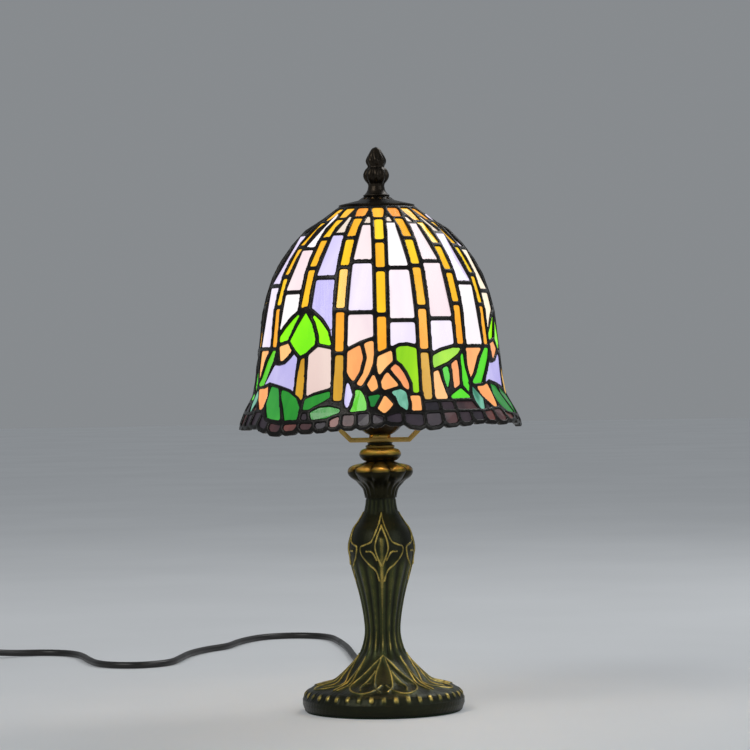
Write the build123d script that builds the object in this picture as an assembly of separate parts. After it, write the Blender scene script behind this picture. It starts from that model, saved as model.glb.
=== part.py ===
from build123d import *
import math
import os

# Stained glass table lamp. Millimetres, +Z up, the lamp's axis is X = Y = 0 and it stands on Z = 0.
# The front of the lamp looks along -Y. Angles round the shade are counted from the front, + towards +X.

# ---- Driving dimensions ---------------------------------------------------------------------------

# Foot and column: outer radius and height, from the foot's shoulder up to the neck.
FOOT_R = 56.0
FOOT_BELLY_R = 57.5
FOOT_SIDE_Z = 9.3
SHOULDER = [(52.3, 16.0), (37.0, 20.5), (30.5, 24.7), (18.0, 37.3)]
COLUMN = [(13.6, 45.9), (11.9, 58.6), (15.1, 79.9), (21.9, 105.4), (23.2, 115.2),
          (20.7, 126.4), (16.8, 133.4), (12.3, 140.4)]
NECK = (10.9, 149.2)
CASTING_WALL = 4.0

# Crown, knob and spacer stacked on the neck.
CROWN_R = 23.4
CROWN_Z = 167.9
CROWN_TOP = (9.1, 175.0)
KNOB_R = 14.7
KNOB_Z = (175.0, 184.0)
SPACER_R = 10.2
SPACER_TOP = 188.1

# Threaded pipe that clamps the stack, and its nuts and washer.
PIPE_R = 4.9
PIPE_BORE_R = 3.4
PIPE_HOLE_R = 5.3
PIPE_Z = (12.0, 199.8)
CEILING_Z = 19.2
NUT_ACROSS_FLATS = 14.0
NUT_T = 3.4
WASHER_R = 11.0
WASHER_T = 1.4

# Felt under the foot.
FELT_R = 54.0
FELT_T = 1.2

# Harp: one strip bent into a loop round the bulb.
HARP_W = 10.0
HARP_T = 3.2
HARP_BOTTOM_Z = 189.7
HARP_TOP_Z = 348.0
HARP_FOOT_X = 20.5
HARP_KNEE = (27.0, 196.2)
HARP_SIDE_X = 44.0
STUD_R = 3.0
STUD_TOP = 375.0
STUD_SEAT_T = 1.5

# Lampholder, for an E27 cap.
HOLDER_BOTTOM_Z = 193.4
HOLDER_R = 19.5
CUP_TOP_Z = 212.0
SHELL_TOP_Z = 247.0
HOLDER_WALL = 2.0
HOLDER_FLOOR_T = 2.3
CERAMIC_Z = (205.0, 212.5)
THREAD_LINER_R = 14.6
TERMINAL_X = 9.0

# Bulb with an E27 cap.
BULB_R = 27.5
BULB_CAP_R = 13.1
BULB_BOTTOM_Z = 216.0
BULB_CAP_TOP_Z = 241.0
BULB_CENTRE_Z = 285.0
GLASS_T = 0.8

# Shade: outer radius and height from the top down.
SHADE_PROFILE = [
    (27.0, 353.0), (37.5, 345.2), (50.5, 337.0), (60.0, 326.9), (68.0, 315.9), (74.0, 305.0),
    (78.5, 292.0), (81.8, 279.0), (83.6, 262.0), (85.3, 248.5), (87.0, 231.7), (89.0, 221.5),
    (94.0, 212.6), (100.0, 202.2), (101.6, 195.0),
]
LATTICE_T = 4.2
PANE_T = 2.4
SEAM_HALF = 1.3
SECTORS = 3
SECTOR_DEG = 360 / SECTORS
RIM_FLOOR = 190.0

# Cap and finial.
CAP_R = 26.6
CAP_EDGE_Z = 352.8
CAP_KNEE = (13.0, 357.6)
CAP_HUB = (9.2, 360.15)
CAP_T = 1.0
VENTS = 12
VENT_R = 1.4
STUD_HOLE_R = 3.4
FINIAL = [
    (9.1, 361.3), (8.2, 364.5), (5.3, 368.6), (7.6, 371.3), (9.3, 375.2), (7.9, 379.0),
    (6.0, 381.2), (7.3, 384.7), (6.2, 388.0), (4.4, 390.8), (2.4, 393.8),
]
FINIAL_TOP_Z = 395.3
FINIAL_BASE_Z = 360.2
INSERT_R = 4.4

# Mains lead: where it leaves the foot, its in-line switch, its coil and its plug.
CORD_R = 2.75
EXIT_Z = 7.0
GROMMET_R = 5.4
GROMMET_NECK_R = 4.2
GROMMET_Y = (52.9, 57.6, 60.0)
RELIEF_END_Y = 86.0
SWITCH_HEADING = 215.5
SWITCH_ENTRY = (-350.0, 394.3)
SWITCH_SIZE = (60.0, 25.0, 16.0)
SWITCH_CORD_Z = 7.0
BOOT_L = 12.0
CORD_GAP = 0.7
ROCKER_SIZE = (17.0, 9.6, 6.0)
ROCKER_CROWN_R = 20.0
ROCKER_PIVOT_DEPTH = 3.6
ROCKER_TILT = 9.0
PIVOT_R = 1.3
LUG_T = 1.4
COIL_LEAD = 44.0
COIL_R = 30.0
COIL_HALF_W = 6.2
COIL_H = 10.4
PLUG_SIZE = (24.0, 32.0, 16.0)
PLUG_Y = 438.0
PIN_SIZE = (1.5, 17.0, 6.3)
PIN_PITCH = 12.7

os.makedirs("parts", exist_ok=True)


def save(name, *solids):
    """Writes one sub-part, of one solid or of a group of separate solids."""
    found = [s for shape in solids for s in shape.solids()]
    for s in found:
        assert s.is_valid and s.volume > 0, name
    export_step(found[0] if len(found) == 1 else Compound(children=found), f"parts/{name}.step")


def lathe(*points):
    """A solid of revolution from its half section's corners, (radius, height)."""
    outline = Wire.make_polygon([(r, 0, z) for r, z in points], close=True)
    return revolve(Face(outline), Axis.Z, 360)


def tube(r_out, r_in, z0, z1):
    return lathe((r_in, z0), (r_out, z0), (r_out, z1), (r_in, z1))


def disc(r, z0, z1):
    return Pos(0, 0, z0) * Cylinder(r, z1 - z0, align=(Align.CENTER, Align.CENTER, Align.MIN))


def smooth(points):
    """A smooth curve through (radius, height) points in the XZ plane."""
    return Spline(*[(r, 0, z) for r, z in points])


def line(a, b):
    return Line((a[0], 0, a[1]), (b[0], 0, b[1]))


def turned(*edges):
    """A solid of revolution from the edges of its half section, which run once round it."""
    return revolve(Face(Wire(list(edges))), Axis.Z, 360)


def hex_nut(z0, z1, across=NUT_ACROSS_FLATS, bore=PIPE_HOLE_R):
    body = extrude(RegularPolygon(across / math.sqrt(3), 6), z1 - z0)
    return Pos(0, 0, z0) * (body - Cylinder(bore, 3 * (z1 - z0)))


# ---- Foot, column and what is stacked on it -------------------------------------------------------

def make_casting():
    """The cast foot and column: hollow below its ceiling, bored for the pipe, with a hole for the lead."""
    side_bottom = (FOOT_R, FELT_T)
    side_top = (FOOT_BELLY_R, FOOT_SIDE_Z - 4)
    belly = (FOOT_BELLY_R, FOOT_SIDE_Z)
    bore_top, bore_low = (PIPE_HOLE_R, NECK[1]), (PIPE_HOLE_R, CEILING_Z)
    inside = [
        bore_low, (16.0, CEILING_Z), (27.0, 18.6), (35.0, 16.5), (49.0, 12.5),
        (FOOT_BELLY_R - CASTING_WALL, 8.0), (FOOT_R - CASTING_WALL, FELT_T),
    ]
    body = turned(
        line(side_bottom, side_top), line(side_top, belly), smooth([belly] + SHOULDER + COLUMN + [NECK]),
        line(NECK, bore_top), line(bore_top, bore_low),
        *[line(p, q) for p, q in zip(inside, inside[1:])], line(inside[-1], side_bottom),
    )
    return body - Pos(0, FOOT_R, EXIT_Z) * Rot(90, 0, 0) * Cylinder(GROMMET_NECK_R, 16)


def make_crown():
    """The fluted collar on top of the column, as a plain solid of revolution with a bore."""
    bore = PIPE_HOLE_R
    lower = smooth([NECK, (11.8, 152.6), (17.8, 160.1), (CROWN_R, CROWN_Z)])
    upper = smooth([(CROWN_R, CROWN_Z), (20.5, 170.8), (13.0, 172.8), CROWN_TOP])
    return turned(
        lower, upper, line(CROWN_TOP, (bore, CROWN_TOP[1])),
        line((bore, CROWN_TOP[1]), (bore, NECK[1])), line((bore, NECK[1]), NECK),
    )


def make_knob():
    """The gold ring between the crown and the spacer."""
    z0, z1 = KNOB_Z
    half, bore = (z1 - z0) / 2, PIPE_HOLE_R
    edge = KNOB_R - half
    arc = ThreePointArc((edge, 0, z0), (KNOB_R, 0, z0 + half), (edge, 0, z1))
    top = line((edge, z1), (bore, z1))
    return turned(arc, top, line((bore, z1), (bore, z0)), line((bore, z0), (edge, z0)))


def along_y(radius, y0, y1):
    """A cylinder along Y at the height where the lead leaves the foot."""
    return Pos(0, (y0 + y1) / 2, EXIT_Z) * Rot(90, 0, 0) * Cylinder(radius, y1 - y0)


def make_grommet():
    """A rubber bush in the foot's side wall: a neck and an outer flange, bored for the lead."""
    inner, wall, outer = GROMMET_Y
    return along_y(GROMMET_NECK_R, inner, wall) + along_y(GROMMET_R, wall, outer) - along_y(CORD_R, 0, 200)


def make_relief():
    """The tapered strain relief behind the grommet."""
    start, end = GROMMET_Y[2], RELIEF_END_Y
    cone = Cone(GROMMET_NECK_R + 0.4, CORD_R, end - start)
    return Pos(0, (start + end) / 2, EXIT_Z) * Rot(-90, 0, 0) * cone


def make_lead_inside():
    """The lead inside the lamp: in through the grommet, across the foot and up the pipe."""
    path = FilletPolyline(
        (0, GROMMET_Y[2], EXIT_Z), (0, 0, EXIT_Z), (0, 0, CERAMIC_Z[0] - 2), radius=9.0)
    return sweep(Plane(path @ 0, z_dir=path % 0) * Circle(CORD_R), path)


# ---- Lampholder and bulb --------------------------------------------------------------------------

def make_holder_cup():
    """The domed cup under the lampholder."""
    z0, z1, r, w = HOLDER_BOTTOM_Z, CUP_TOP_Z, HOLDER_R, HOLDER_WALL
    floor_r, floor_z = 9.4, z0 + HOLDER_FLOOR_T
    base, seat = (8.0, z0), (floor_r, floor_z)
    outer = smooth([base, (13.0, z0 + 3.2), (17.4, z0 + 8.6), (r, z1)])
    inner = smooth([seat, (12.5, z0 + 5.9), (15.4, z0 + 10.6), (r - w, z1)])
    bore_low, bore_top = (PIPE_HOLE_R, z0), (PIPE_HOLE_R, floor_z)
    return turned(
        line(bore_low, base), outer, line((r, z1), (r - w, z1)), inner,
        line(seat, bore_top), line(bore_top, bore_low),
    )


def make_holder_shell():
    """The skirt of the lampholder, a tube with a rolled mouth."""
    r, w, z0, z1 = HOLDER_R, HOLDER_WALL, CUP_TOP_Z, SHELL_TOP_Z
    return lathe(
        (r - w, z0), (r, z0), (r, z1 - 4), (r + 0.9, z1 - 3), (r + 0.9, z1), (r - w, z1),
    )


def make_ceramic():
    """The ceramic disc that carries the contacts."""
    z0, z1 = CERAMIC_Z
    body = disc(15.2, z0 + 1.2, z1) - disc(THREAD_LINER_R + 0.35, z1 - 1.5, z1 + 1)
    body += disc(THREAD_LINER_R - 1.2, z1 - 1.6, z1 - 0.2)
    for x in (-TERMINAL_X, TERMINAL_X):
        body -= Pos(x, 0, z0) * Cylinder(1.7, 30)
    return body


def make_liner():
    """The thin screw shell inside the lampholder."""
    r = THREAD_LINER_R
    return tube(r, r - 0.5, CERAMIC_Z[1] - 1.5, SHELL_TOP_Z - 6)


def make_centre_contact():
    """The sprung centre contact under the bulb."""
    z = CERAMIC_Z[1] - 0.2
    foot = Pos(0, 0, z + 0.25) * Box(8, 3.2, 0.5)
    tongue = Pos(0, 0, z + 1.6) * Box(4.4, 3.2, 2.4)
    return foot + tongue


def make_terminal_screws():
    """The two screws under the ceramic that hold the lead's wires."""
    low = CERAMIC_Z[0] - 1.0
    screw = disc(1.5, low, low + 7.8) + disc(2.6, low - 1.6, low)
    return [Pos(x, 0, 0) * screw for x in (-TERMINAL_X, TERMINAL_X)]


def make_bulb_glass():
    """The blown envelope, a ball on a tapering neck."""
    c, r, t = BULB_CENTRE_Z, BULB_R, GLASS_T
    neck = (12.4, BULB_CAP_TOP_Z - 4)
    lip = (12.4, BULB_CAP_TOP_Z + 0.3)
    outer = [(0.0, c + r), (r * 0.7071, c + r * 0.7071), (r, c), (21.4, c - 18.6), (14.4, c - 34.0)]
    inner = [(0.0, c + r - t), ((r - t) * 0.7071, c + (r - t) * 0.7071), (r - t, c),
             (21.4 - t, c - 18.4), (14.4 - t, c - 34.0)]
    bottom, sill = (neck[0] - t, neck[1]), (lip[0] - t, lip[1])
    return turned(
        smooth(outer), line(outer[-1], lip), line(lip, neck), line(neck, bottom), line(bottom, sill),
        line(sill, inner[-1]), smooth(inner), line(inner[0], outer[0]),
    )


def make_bulb_cap():
    """The screw cap, a plain tube with an inner step that the glass is cemented into."""
    z0, z1, r = BULB_BOTTOM_Z + 3.0, BULB_CAP_TOP_Z, BULB_CAP_R
    return lathe((r - 4.5, z0 - 1.6), (r - 0.6, z0), (r, z0 + 2), (r, z1), (r - 0.65, z1),
                 (r - 0.65, z0 + 2.4), (r - 4.5, z0 + 0.4))


def make_bulb_contact():
    """The insulating button and its centre contact."""
    z0 = BULB_BOTTOM_Z
    return lathe((0, z0), (3.6, z0), (5.0, z0 + 1.0), (BULB_CAP_R - 4.55, z0 + 1.6),
                 (BULB_CAP_R - 4.55, z0 + 3.6), (0, z0 + 3.6))


def make_stem():
    """The glass stem inside the bulb, with its flare sealed to the neck."""
    z0 = BULB_CAP_TOP_Z - 3.6
    return lathe((0, z0), (11.4, z0), (4.6, z0 + 8), (3.2, z0 + 16), (3.2, z0 + 34), (0, z0 + 35))


def make_filament():
    """Two lead wires and the coiled filament between them, as one bent wire."""
    z0 = BULB_CAP_TOP_Z + 31.0
    top = BULB_CENTRE_Z + 2.0
    path = Polyline((-2.2, 0, z0), (-11.0, 0, top), (0, 0, top + 5.0), (11.0, 0, top), (2.2, 0, z0))
    section = Plane(path @ 0, z_dir=path % 0) * Circle(0.45)
    return sweep(section, path, transition=Transition.RIGHT)


# ---- Harp -----------------------------------------------------------------------------------------

def harp_path():
    """Half of the harp's centreline, from the middle of its foot to the middle of its top."""
    knee = HARP_KNEE
    return [(0, HARP_BOTTOM_Z), (HARP_FOOT_X, HARP_BOTTOM_Z), knee, (HARP_SIDE_X, 236.0),
            (HARP_SIDE_X - 1.0, 285.0), (34.0, 326.0), (16.0, HARP_TOP_Z), (0, HARP_TOP_Z)]


def make_harp():
    """One flat strip bent into a closed loop, bored below for the pipe and above for the stud."""
    half = harp_path()
    corners = half + [(-x, z) for x, z in reversed(half[1:-1])]
    centre = Wire.make_polygon([(x, 0, z) for x, z in corners], close=True)
    inner = Face(centre.offset_2d(-HARP_T / 2))
    outer = Face(centre.offset_2d(HARP_T / 2))
    if outer.area < inner.area:
        inner, outer = outer, inner
    ring = extrude(outer, HARP_W / 2, dir=(0, 1, 0), both=True)
    ring -= extrude(inner, HARP_W, dir=(0, 1, 0), both=True)
    ring -= Pos(0, 0, HARP_BOTTOM_Z) * Cylinder(PIPE_R + 0.05, 20)
    return ring - Pos(0, 0, HARP_TOP_Z) * Cylinder(STUD_R + 0.05, 20)


def make_stud():
    """The threaded stud riveted through the harp's top, with the seat that the shade rests on."""
    seat_z = HARP_TOP_Z + HARP_T / 2
    under = HARP_TOP_Z - HARP_T / 2
    seat = disc(7.0, seat_z, seat_z + STUD_SEAT_T)
    return disc(STUD_R, under - 1.4, STUD_TOP) + seat + disc(4.6, under - 1.4, under)


# ---- Shade ----------------------------------------------------------------------------------------

def offset_profile(distance):
    """The shade's profile moved along its own normals, inward for a positive distance."""
    moved = []
    for i, (r, z) in enumerate(SHADE_PROFILE):
        r0, z0 = SHADE_PROFILE[max(i - 1, 0)]
        r1, z1 = SHADE_PROFILE[min(i + 1, len(SHADE_PROFILE) - 1)]
        long = math.hypot(r1 - r0, z1 - z0)
        moved.append((r + (z1 - z0) / long * distance, z - (r1 - r0) / long * distance))
    return moved


MIDDLE = offset_profile(LATTICE_T / 2)


def middle_radius(z):
    """The radius of the shade's middle surface at a height."""
    for (r1, z1), (r0, z0) in zip(MIDDLE, MIDDLE[1:]):
        if z >= z0:
            return r0 + (r1 - r0) * (z - z0) / (z1 - z0)
    return MIDDLE[-1][0]


def on_shade(angle, z):
    """The point on the shade's middle surface at an angle and a height."""
    r, a = middle_radius(z), math.radians(angle)
    return Vector(r * math.sin(a), -r * math.cos(a), z)


# The seams are drawn as (angle, height) on one third of the shade, which repeats round it.
STALK_PITCH = 20.0
FIRST_STALK = -18.5
STALK_HALF_W = 4.25
APEX_Z = 347.7
TOP_Z = 350.5
# Each stalk, counted from the middle one to the right: the heights of its lower left and lower right
# corners, and where it is cut across.
STALKS = [
    (248.4, 252.0, [341.6, 325.5, 306.0, 275.5]),
    (216.7, 216.7, [342.2, 327.5, 308.5, 280.5, 251.0]),
    (253.9, 253.9, [339.6, 323.0, 305.0, 283.0]),
    (253.9, 253.9, [340.4, 323.0, 303.0, 282.5]),
    (280.0, 280.0, [342.0, 328.0, 308.0]),
    (216.7, 216.7, [342.6, 328.0, 308.0, 279.0, 250.0]),
]
# The seams across each column of pale panels, left of the stalk of the same place in STALKS.
PANEL_SEAMS = [
    [337.4, 311.5, 277.2], [338.4, 306.9, 271.6], [338.2, 311.4, 272.6], [331.6, 297.0],
    [321.4, 292.0], [330.8, 301.2],
]
PICTURE = {
    "flower arch": [(-16.2, 251.2), (-12, 254.5), (-8, 257.2), (-4.5, 259), (-1, 259.9)],
    "petal 1, right": [(-8, 257.2), (-6.3, 247), (-8, 237), (-11.5, 228.6)],
    "petal 1, lower": [(-15.7, 237), (-14.2, 233), (-11.5, 228.6), (-8, 226)],
    "petal 2, right": [(-1.4, 248.4), (-2, 242), (-3.6, 236), (-6.5, 228.5), (-8, 226)],
    "stalk end": [(4.3, 252), (6.9, 253.5)],
    "petal 3, lower": [(7.3, 244), (3.8, 239.3), (1.3, 235), (-0.1, 230.5)],
    "petal 3, left": [(-2, 242), (-1.2, 235), (-0.1, 230.5), (0.4, 225.4)],
    "petal 4, left": [(3.8, 239.3), (6.2, 234.5), (8.8, 230), (10.2, 226), (14.2, 221.6)],
    "petal 5, lower": [(0.4, 225.4), (2.2, 223.4), (9.8, 226.8)],
    "petal 6, lower": [(0.4, 225.4), (-3.8, 221.9), (-6.5, 228.5)],
    "bud, right": [(-13.6, 232), (-12.3, 227.5), (-11.3, 221.5), (-12.2, 214), (-14, 208.6)],
    "bud, left": [(-16.2, 217.5), (-14, 208.6)],
    "green 1": [(-12.1, 226.8), (-8, 226), (-6.4, 222.4), (-4.9, 216.5), (-4.4, 209.8)],
    "green 2, top": [(-6.4, 222.4), (-3.8, 221.9), (2.2, 223.4)],
    "green 2, low": [(-4.9, 212.3), (-1.8, 212)],
    "diamond": [(2.2, 223.4), (-1.8, 212), (2.1, 205.6), (6.8, 214.6), (2.2, 223.4)],
    "teal leaf": [(3.6, 224), (6.3, 219.5), (7.6, 213.5), (11.4, 208.8)],
    "teal, right": [(12.4, 223.8), (13, 214.5), (12.2, 208.8)],
    "square": [(14.2, 221.6), (19, 221.5), (18.4, 208.9)],
    "leaf 1, top": [(6.9, 253.5), (9.5, 255.3), (13.5, 255.6), (18.9, 253.6)],
    "leaf 1, left": [(6.8, 254), (7, 249), (7.3, 244), (9.8, 241.3), (12, 236.5), (14.2, 229), (14.2, 221.6)],
    "leaf 2, top": [(23.8, 247.9), (30, 251.8), (37, 254.1), (44.6, 254.1)],
    "leaf 2, low": [(23.8, 236.9), (33.9, 242.4), (40, 247.8), (43.7, 254)],
    "petal 7": [(29, 239.8), (29.9, 231), (31, 224), (31.8, 219.8), (32.5, 216.6)],
    "green 3": [(33.9, 242.4), (34.6, 233), (33.2, 226), (31.8, 219.8)],
    "petal 8": [(34.6, 233), (34.4, 222.6)],
    "petal 8, low": [(31.8, 219.8), (34.4, 222.6), (39.8, 226.9)],
    "green 4": [(39.5, 247.3), (40.1, 238), (39.8, 226.9), (44.6, 219.4), (44.6, 216.4)],
    "green 4, right": [(43.6, 254.2), (43.9, 240), (45.6, 229), (44.6, 219.4)],
    "dark row": [(18.2, 217), (46, 217)],
    "dark 1": [(26.3, 217.4), (26.3, 209)],
    "dark 2": [(33.6, 217.4), (33.6, 209)],
    "petal 9": [(45.5, 229.4), (49.2, 234.8), (53.8, 246), (59.2, 254)],
    "cross seam": [(43.2, 253.9), (65.4, 253.9)],
    "leaf 3": [(45.6, 229), (47.6, 227), (54.6, 227.6), (58.6, 236), (62.6, 245), (64.9, 253.9)],
    "petal 10": [(54.6, 227.6), (59.6, 230), (60.8, 221), (61.5, 214), (61.3, 211)],
    "petal 10, left": [(47.6, 227), (52, 217.5), (56.6, 210.8)],
    "teal drop": [(45.2, 226), (45, 215), (46.8, 208.6)],
    "teal drop, right": [(52, 217.5), (50.4, 208.8)],
    "dome": [(59.4, 229.8), (68.5, 227.5), (75.5, 225), (81.5, 220), (85, 213.5), (85.4, 204)],
    "dome, middle": [(68.5, 227.5), (70.6, 220), (75.2, 210), (77.4, 204)],
    "dome, left": [(61.5, 215), (63.5, 210.5), (66.5, 205)],
    "violet, top": [(62.2, 244), (66.4, 243.6), (70, 244.6), (73.4, 247.8), (76.6, 252)],
    "small petal": [(64.6, 256.4), (64.9, 253.9), (66.6, 243.6)],
    "pad, outline": [(64.4, 262.4), (68.5, 268.5), (74, 275), (79, 279.3), (82.4, 280.8),
                     (86.5, 279), (92, 273), (96.3, 265.5), (98.7, 255)],
    "pad, left": [(64.4, 256.3), (72.7, 258.7)],
    "pad, middle": [(72.7, 258.7), (76.8, 251.9), (80.5, 247.3), (84.6, 249.6), (90.1, 256)],
    "pad, right": [(90.1, 256), (99.4, 253.4)],
    "pad, rib 1": [(82.4, 280.8), (77, 269.5), (72.7, 258.7)],
    "pad, rib 2": [(82.4, 280.8), (87.6, 271), (89.8, 262), (90.1, 256)],
    "short stalk, left": [(80.3, 247.6), (79.3, 236), (79.2, 222)],
    "short stalk, right": [(84.5, 249.5), (84.7, 236), (85, 213.5)],
    "blush, low": [(84.9, 219.2), (90, 222.6), (99, 226)],
    "green 6": [(99, 219.2), (89.4, 210.8), (84.9, 210.4)],
    "green 7": [(89.4, 210.8), (93, 214.2), (98.5, 215), (104, 212.8)],
    "green 7, low": [(88.4, 211), (90.8, 203.8)],
}
BORDER_TOP = [
    (-15.8, 208.8), (-12, 208.8), (-4.4, 210), (2.1, 205.8), (7, 209), (12.3, 209), (18.4, 209.2),
    (33.6, 209.4), (45, 209), (50.4, 209), (56.6, 210.9), (61.2, 210.9), (66.5, 205.6), (77.4, 204.7),
    (85.4, 204.6), (90.8, 204.4), (98, 204.8), (104.2, 208.8),
]
BORDER_CUTS = [-15.8, -9.6, -3.6, 2.1, 9.4, 18.4, 26.3, 33.6, 40.6,
               47.8, 54.8, 62.2, 69.6, 77.4, 85.4, 92.6, 98.8]
RIM_NOTCH_Z = 200.6
RIM_LOBE_Z = 198.4
RIM_OVERLAP = 0.35

# A point in each coloured piece. Stalks are amber, the rest above the border is opal.
COLOURS = {
    "lavender": [(-14, 221), (70, 236), (91.5, 288), (91.5, 315)],
    "lime": [(69, 264), (81.5, 260), (93.5, 264)],
    "leaf": [(14, 246), (31, 247)],
    "green": [(57, 238), (42.3, 232), (31.6, 231), (38, 220.5), (-8.5, 217)],
    "deep_green": [(65, 215), (78, 214), (89.5, 217), (97, 209.5), (-2.4, 217.5)],
    "peach": [
        (-12, 243), (-5.2, 245), (3, 246), (11.2, 233), (4.4, 230), (-2.6, 229), (2.2, 214),
        (15.8, 215), (27.4, 228), (37.2, 236), (49, 247), (56.6, 220), (70, 252),
    ],
    "teal": [(9.6, 218), (48.6, 214)],
}
SMALLEST_PANE = 11.0
PLUM_BELOW = 217.2


EDGE_HEIGHTS = [342.0, 336.0, 326.0, 314.0, 300.0, 280.0, 262.0, 242.0, 226.0]


def stalk_half(z):
    """Half the angle that a stalk takes up at a height."""
    return math.degrees(STALK_HALF_W / middle_radius(z))


def stalk_edge(centre, side, low):
    """One side seam of a stalk, from the meeting point under the cap down to its lower end."""
    seam = [(centre + side * STALK_PITCH / 2, TOP_Z), (centre + side * STALK_PITCH / 2, APEX_Z)]
    for z in [h for h in EDGE_HEIGHTS if h > low + 2] + [low]:
        seam.append((centre + side * stalk_half(z), z))
    return seam


def third_seams():
    """Every seam of one third, with the seams of its last stalk repeated at its left edge."""
    seams = list(PICTURE.values())
    centres = [FIRST_STALK + STALK_PITCH * (i + 1) for i in range(len(STALKS))]
    for centre, (left_low, right_low, cuts), panel in zip(centres, STALKS, PANEL_SEAMS):
        seams += [stalk_edge(centre, -1, left_low), stalk_edge(centre, 1, right_low)]
        seams.append([(centre - stalk_half(left_low), left_low), (centre + stalk_half(right_low), right_low)])
        seams += [[(centre - stalk_half(z), z), (centre + stalk_half(z), z)] for z in cuts]
        before = centre - STALK_PITCH
        seams += [[(before + stalk_half(z), z), (centre - stalk_half(z), z)] for z in panel]
    left_end = FIRST_STALK + STALK_PITCH / 2
    seams.append([(left_end, TOP_Z), (left_end + SECTOR_DEG, TOP_Z)])
    last_low = STALKS[-1][1]
    seams.append(stalk_edge(FIRST_STALK, 1, last_low) + [BORDER_TOP[0], (BORDER_CUTS[0], RIM_NOTCH_Z)])
    seams.append([(centres[-1] + stalk_half(last_low), last_low), BORDER_TOP[-1],
                  (BORDER_CUTS[0] + SECTOR_DEG, RIM_NOTCH_Z)])
    seams.append(BORDER_TOP)
    for left, right in zip(BORDER_CUTS, BORDER_CUTS[1:] + [BORDER_CUTS[0] + SECTOR_DEG]):
        seams.append([(left, 211.5), (left, RIM_NOTCH_Z)])
        quarter = (right - left) / 4
        seams.append([(left, RIM_NOTCH_Z), (left + quarter, RIM_LOBE_Z),
                      (right - quarter, RIM_LOBE_Z), (right, RIM_NOTCH_Z)])
    return seams


FLAT_SCALE = 1.4
OVERRUN = 0.4


def crossing(a, b, c, d):
    """Where segment a-b meets segment c-d, as shares along each, or None."""
    rx, ry = b[0] - a[0], b[1] - a[1]
    sx, sy = d[0] - c[0], d[1] - c[1]
    turn = rx * sy - ry * sx
    if abs(turn) < 1e-9:
        return None
    t = ((c[0] - a[0]) * sy - (c[1] - a[1]) * sx) / turn
    u = ((c[0] - a[0]) * ry - (c[1] - a[1]) * rx) / turn
    slack = 1e-3
    return (t, u) if -slack <= t <= 1 + slack and -slack <= u <= 1 + slack else None


def beyond(a, b):
    """The point a little past b on the way from a, so that a seam's end crosses what it meets."""
    share = 1 + OVERRUN / math.hypot(b[0] - a[0], b[1] - a[1])
    return a[0] + (b[0] - a[0]) * share, a[1] + (b[1] - a[1]) * share


def faces_between(seams):
    """The closed areas between seams, as rings of (angle, height). Ends that meet nothing are dropped."""
    pieces = []
    for seam in seams:
        flat = [(x * FLAT_SCALE, z) for x, z in seam]
        flat = [beyond(flat[1], flat[0])] + flat[1:-1] + [beyond(flat[-2], flat[-1])]
        pieces += zip(flat, flat[1:])
    nodes = []

    def node(p):
        for i, q in enumerate(nodes):
            if abs(p[0] - q[0]) < 0.12 and abs(p[1] - q[1]) < 0.12:
                return i
        nodes.append(p)
        return len(nodes) - 1

    near = {}
    for i, (a, b) in enumerate(pieces):
        stops = [0.0, 1.0]
        for j, (c, d) in enumerate(pieces):
            if i != j:
                hit = crossing(a, b, c, d)
                if hit:
                    stops.append(min(max(hit[0], 0.0), 1.0))
        places = [node((a[0] + (b[0] - a[0]) * t, a[1] + (b[1] - a[1]) * t)) for t in sorted(stops)]
        for p, q in zip(places, places[1:]):
            if p != q:
                near.setdefault(p, set()).add(q)
                near.setdefault(q, set()).add(p)
    loose = [n for n in near if len(near[n]) < 2]
    while loose:
        n = loose.pop()
        for other in near.pop(n, ()):
            near[other].discard(n)
            if len(near[other]) < 2:
                loose.append(other)

    def bearing(p, q):
        return math.atan2(nodes[q][1] - nodes[p][1], nodes[q][0] - nodes[p][0])

    order = {p: sorted(around, key=lambda q: bearing(p, q)) for p, around in near.items() if around}
    used, rings = set(), []
    for p in order:
        for q in order[p]:
            ring, a, b = [], p, q
            while (a, b) not in used:
                used.add((a, b))
                ring.append(a)
                around = order[b]
                a, b = b, around[around.index(a) - 1]
            if len(ring) > 2 and signed_area([nodes[i] for i in ring]) > 0:
                rings.append([(nodes[i][0] / FLAT_SCALE, nodes[i][1]) for i in ring])
    return rings


def signed_area(ring):
    return sum(p[0] * q[1] - q[0] * p[1] for p, q in zip(ring, ring[1:] + ring[:1])) / 2


def holds(ring, point):
    """Whether a point is inside a ring."""
    inside = False
    x, y = point
    for p, q in zip(ring, ring[1:] + ring[:1]):
        if (p[1] > y) != (q[1] > y) and x < p[0] + (y - p[1]) / (q[1] - p[1]) * (q[0] - p[0]):
            inside = not inside
    return inside


def tidy(ring, shortest, bend):
    """A flat ring without its very short edges and the points that hardly bend it."""
    ring = list(ring)
    changed = True
    while changed and len(ring) > 3:
        changed = False
        for i in range(len(ring)):
            p, q, r = ring[i - 1], ring[i], ring[(i + 1) % len(ring)]
            base = math.hypot(r[0] - p[0], r[1] - p[1])
            away = abs(signed_area([p, q, r])) * 2 / max(base, 1e-6)
            if math.hypot(q[0] - p[0], q[1] - p[1]) < shortest or away < bend:
                del ring[i]
                changed = True
                break
    return ring


def without_flips(ring, moved):
    """The moved ring, with one point in place of each edge that has turned round."""
    kept = []
    for i, q in enumerate(ring):
        j = (i + 1) % len(ring)
        along = (ring[j][0] - q[0]) * (moved[j][0] - moved[i][0])
        along += (ring[j][1] - q[1]) * (moved[j][1] - moved[i][1])
        if along > 0:
            kept.append(moved[i])
    return kept


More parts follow.
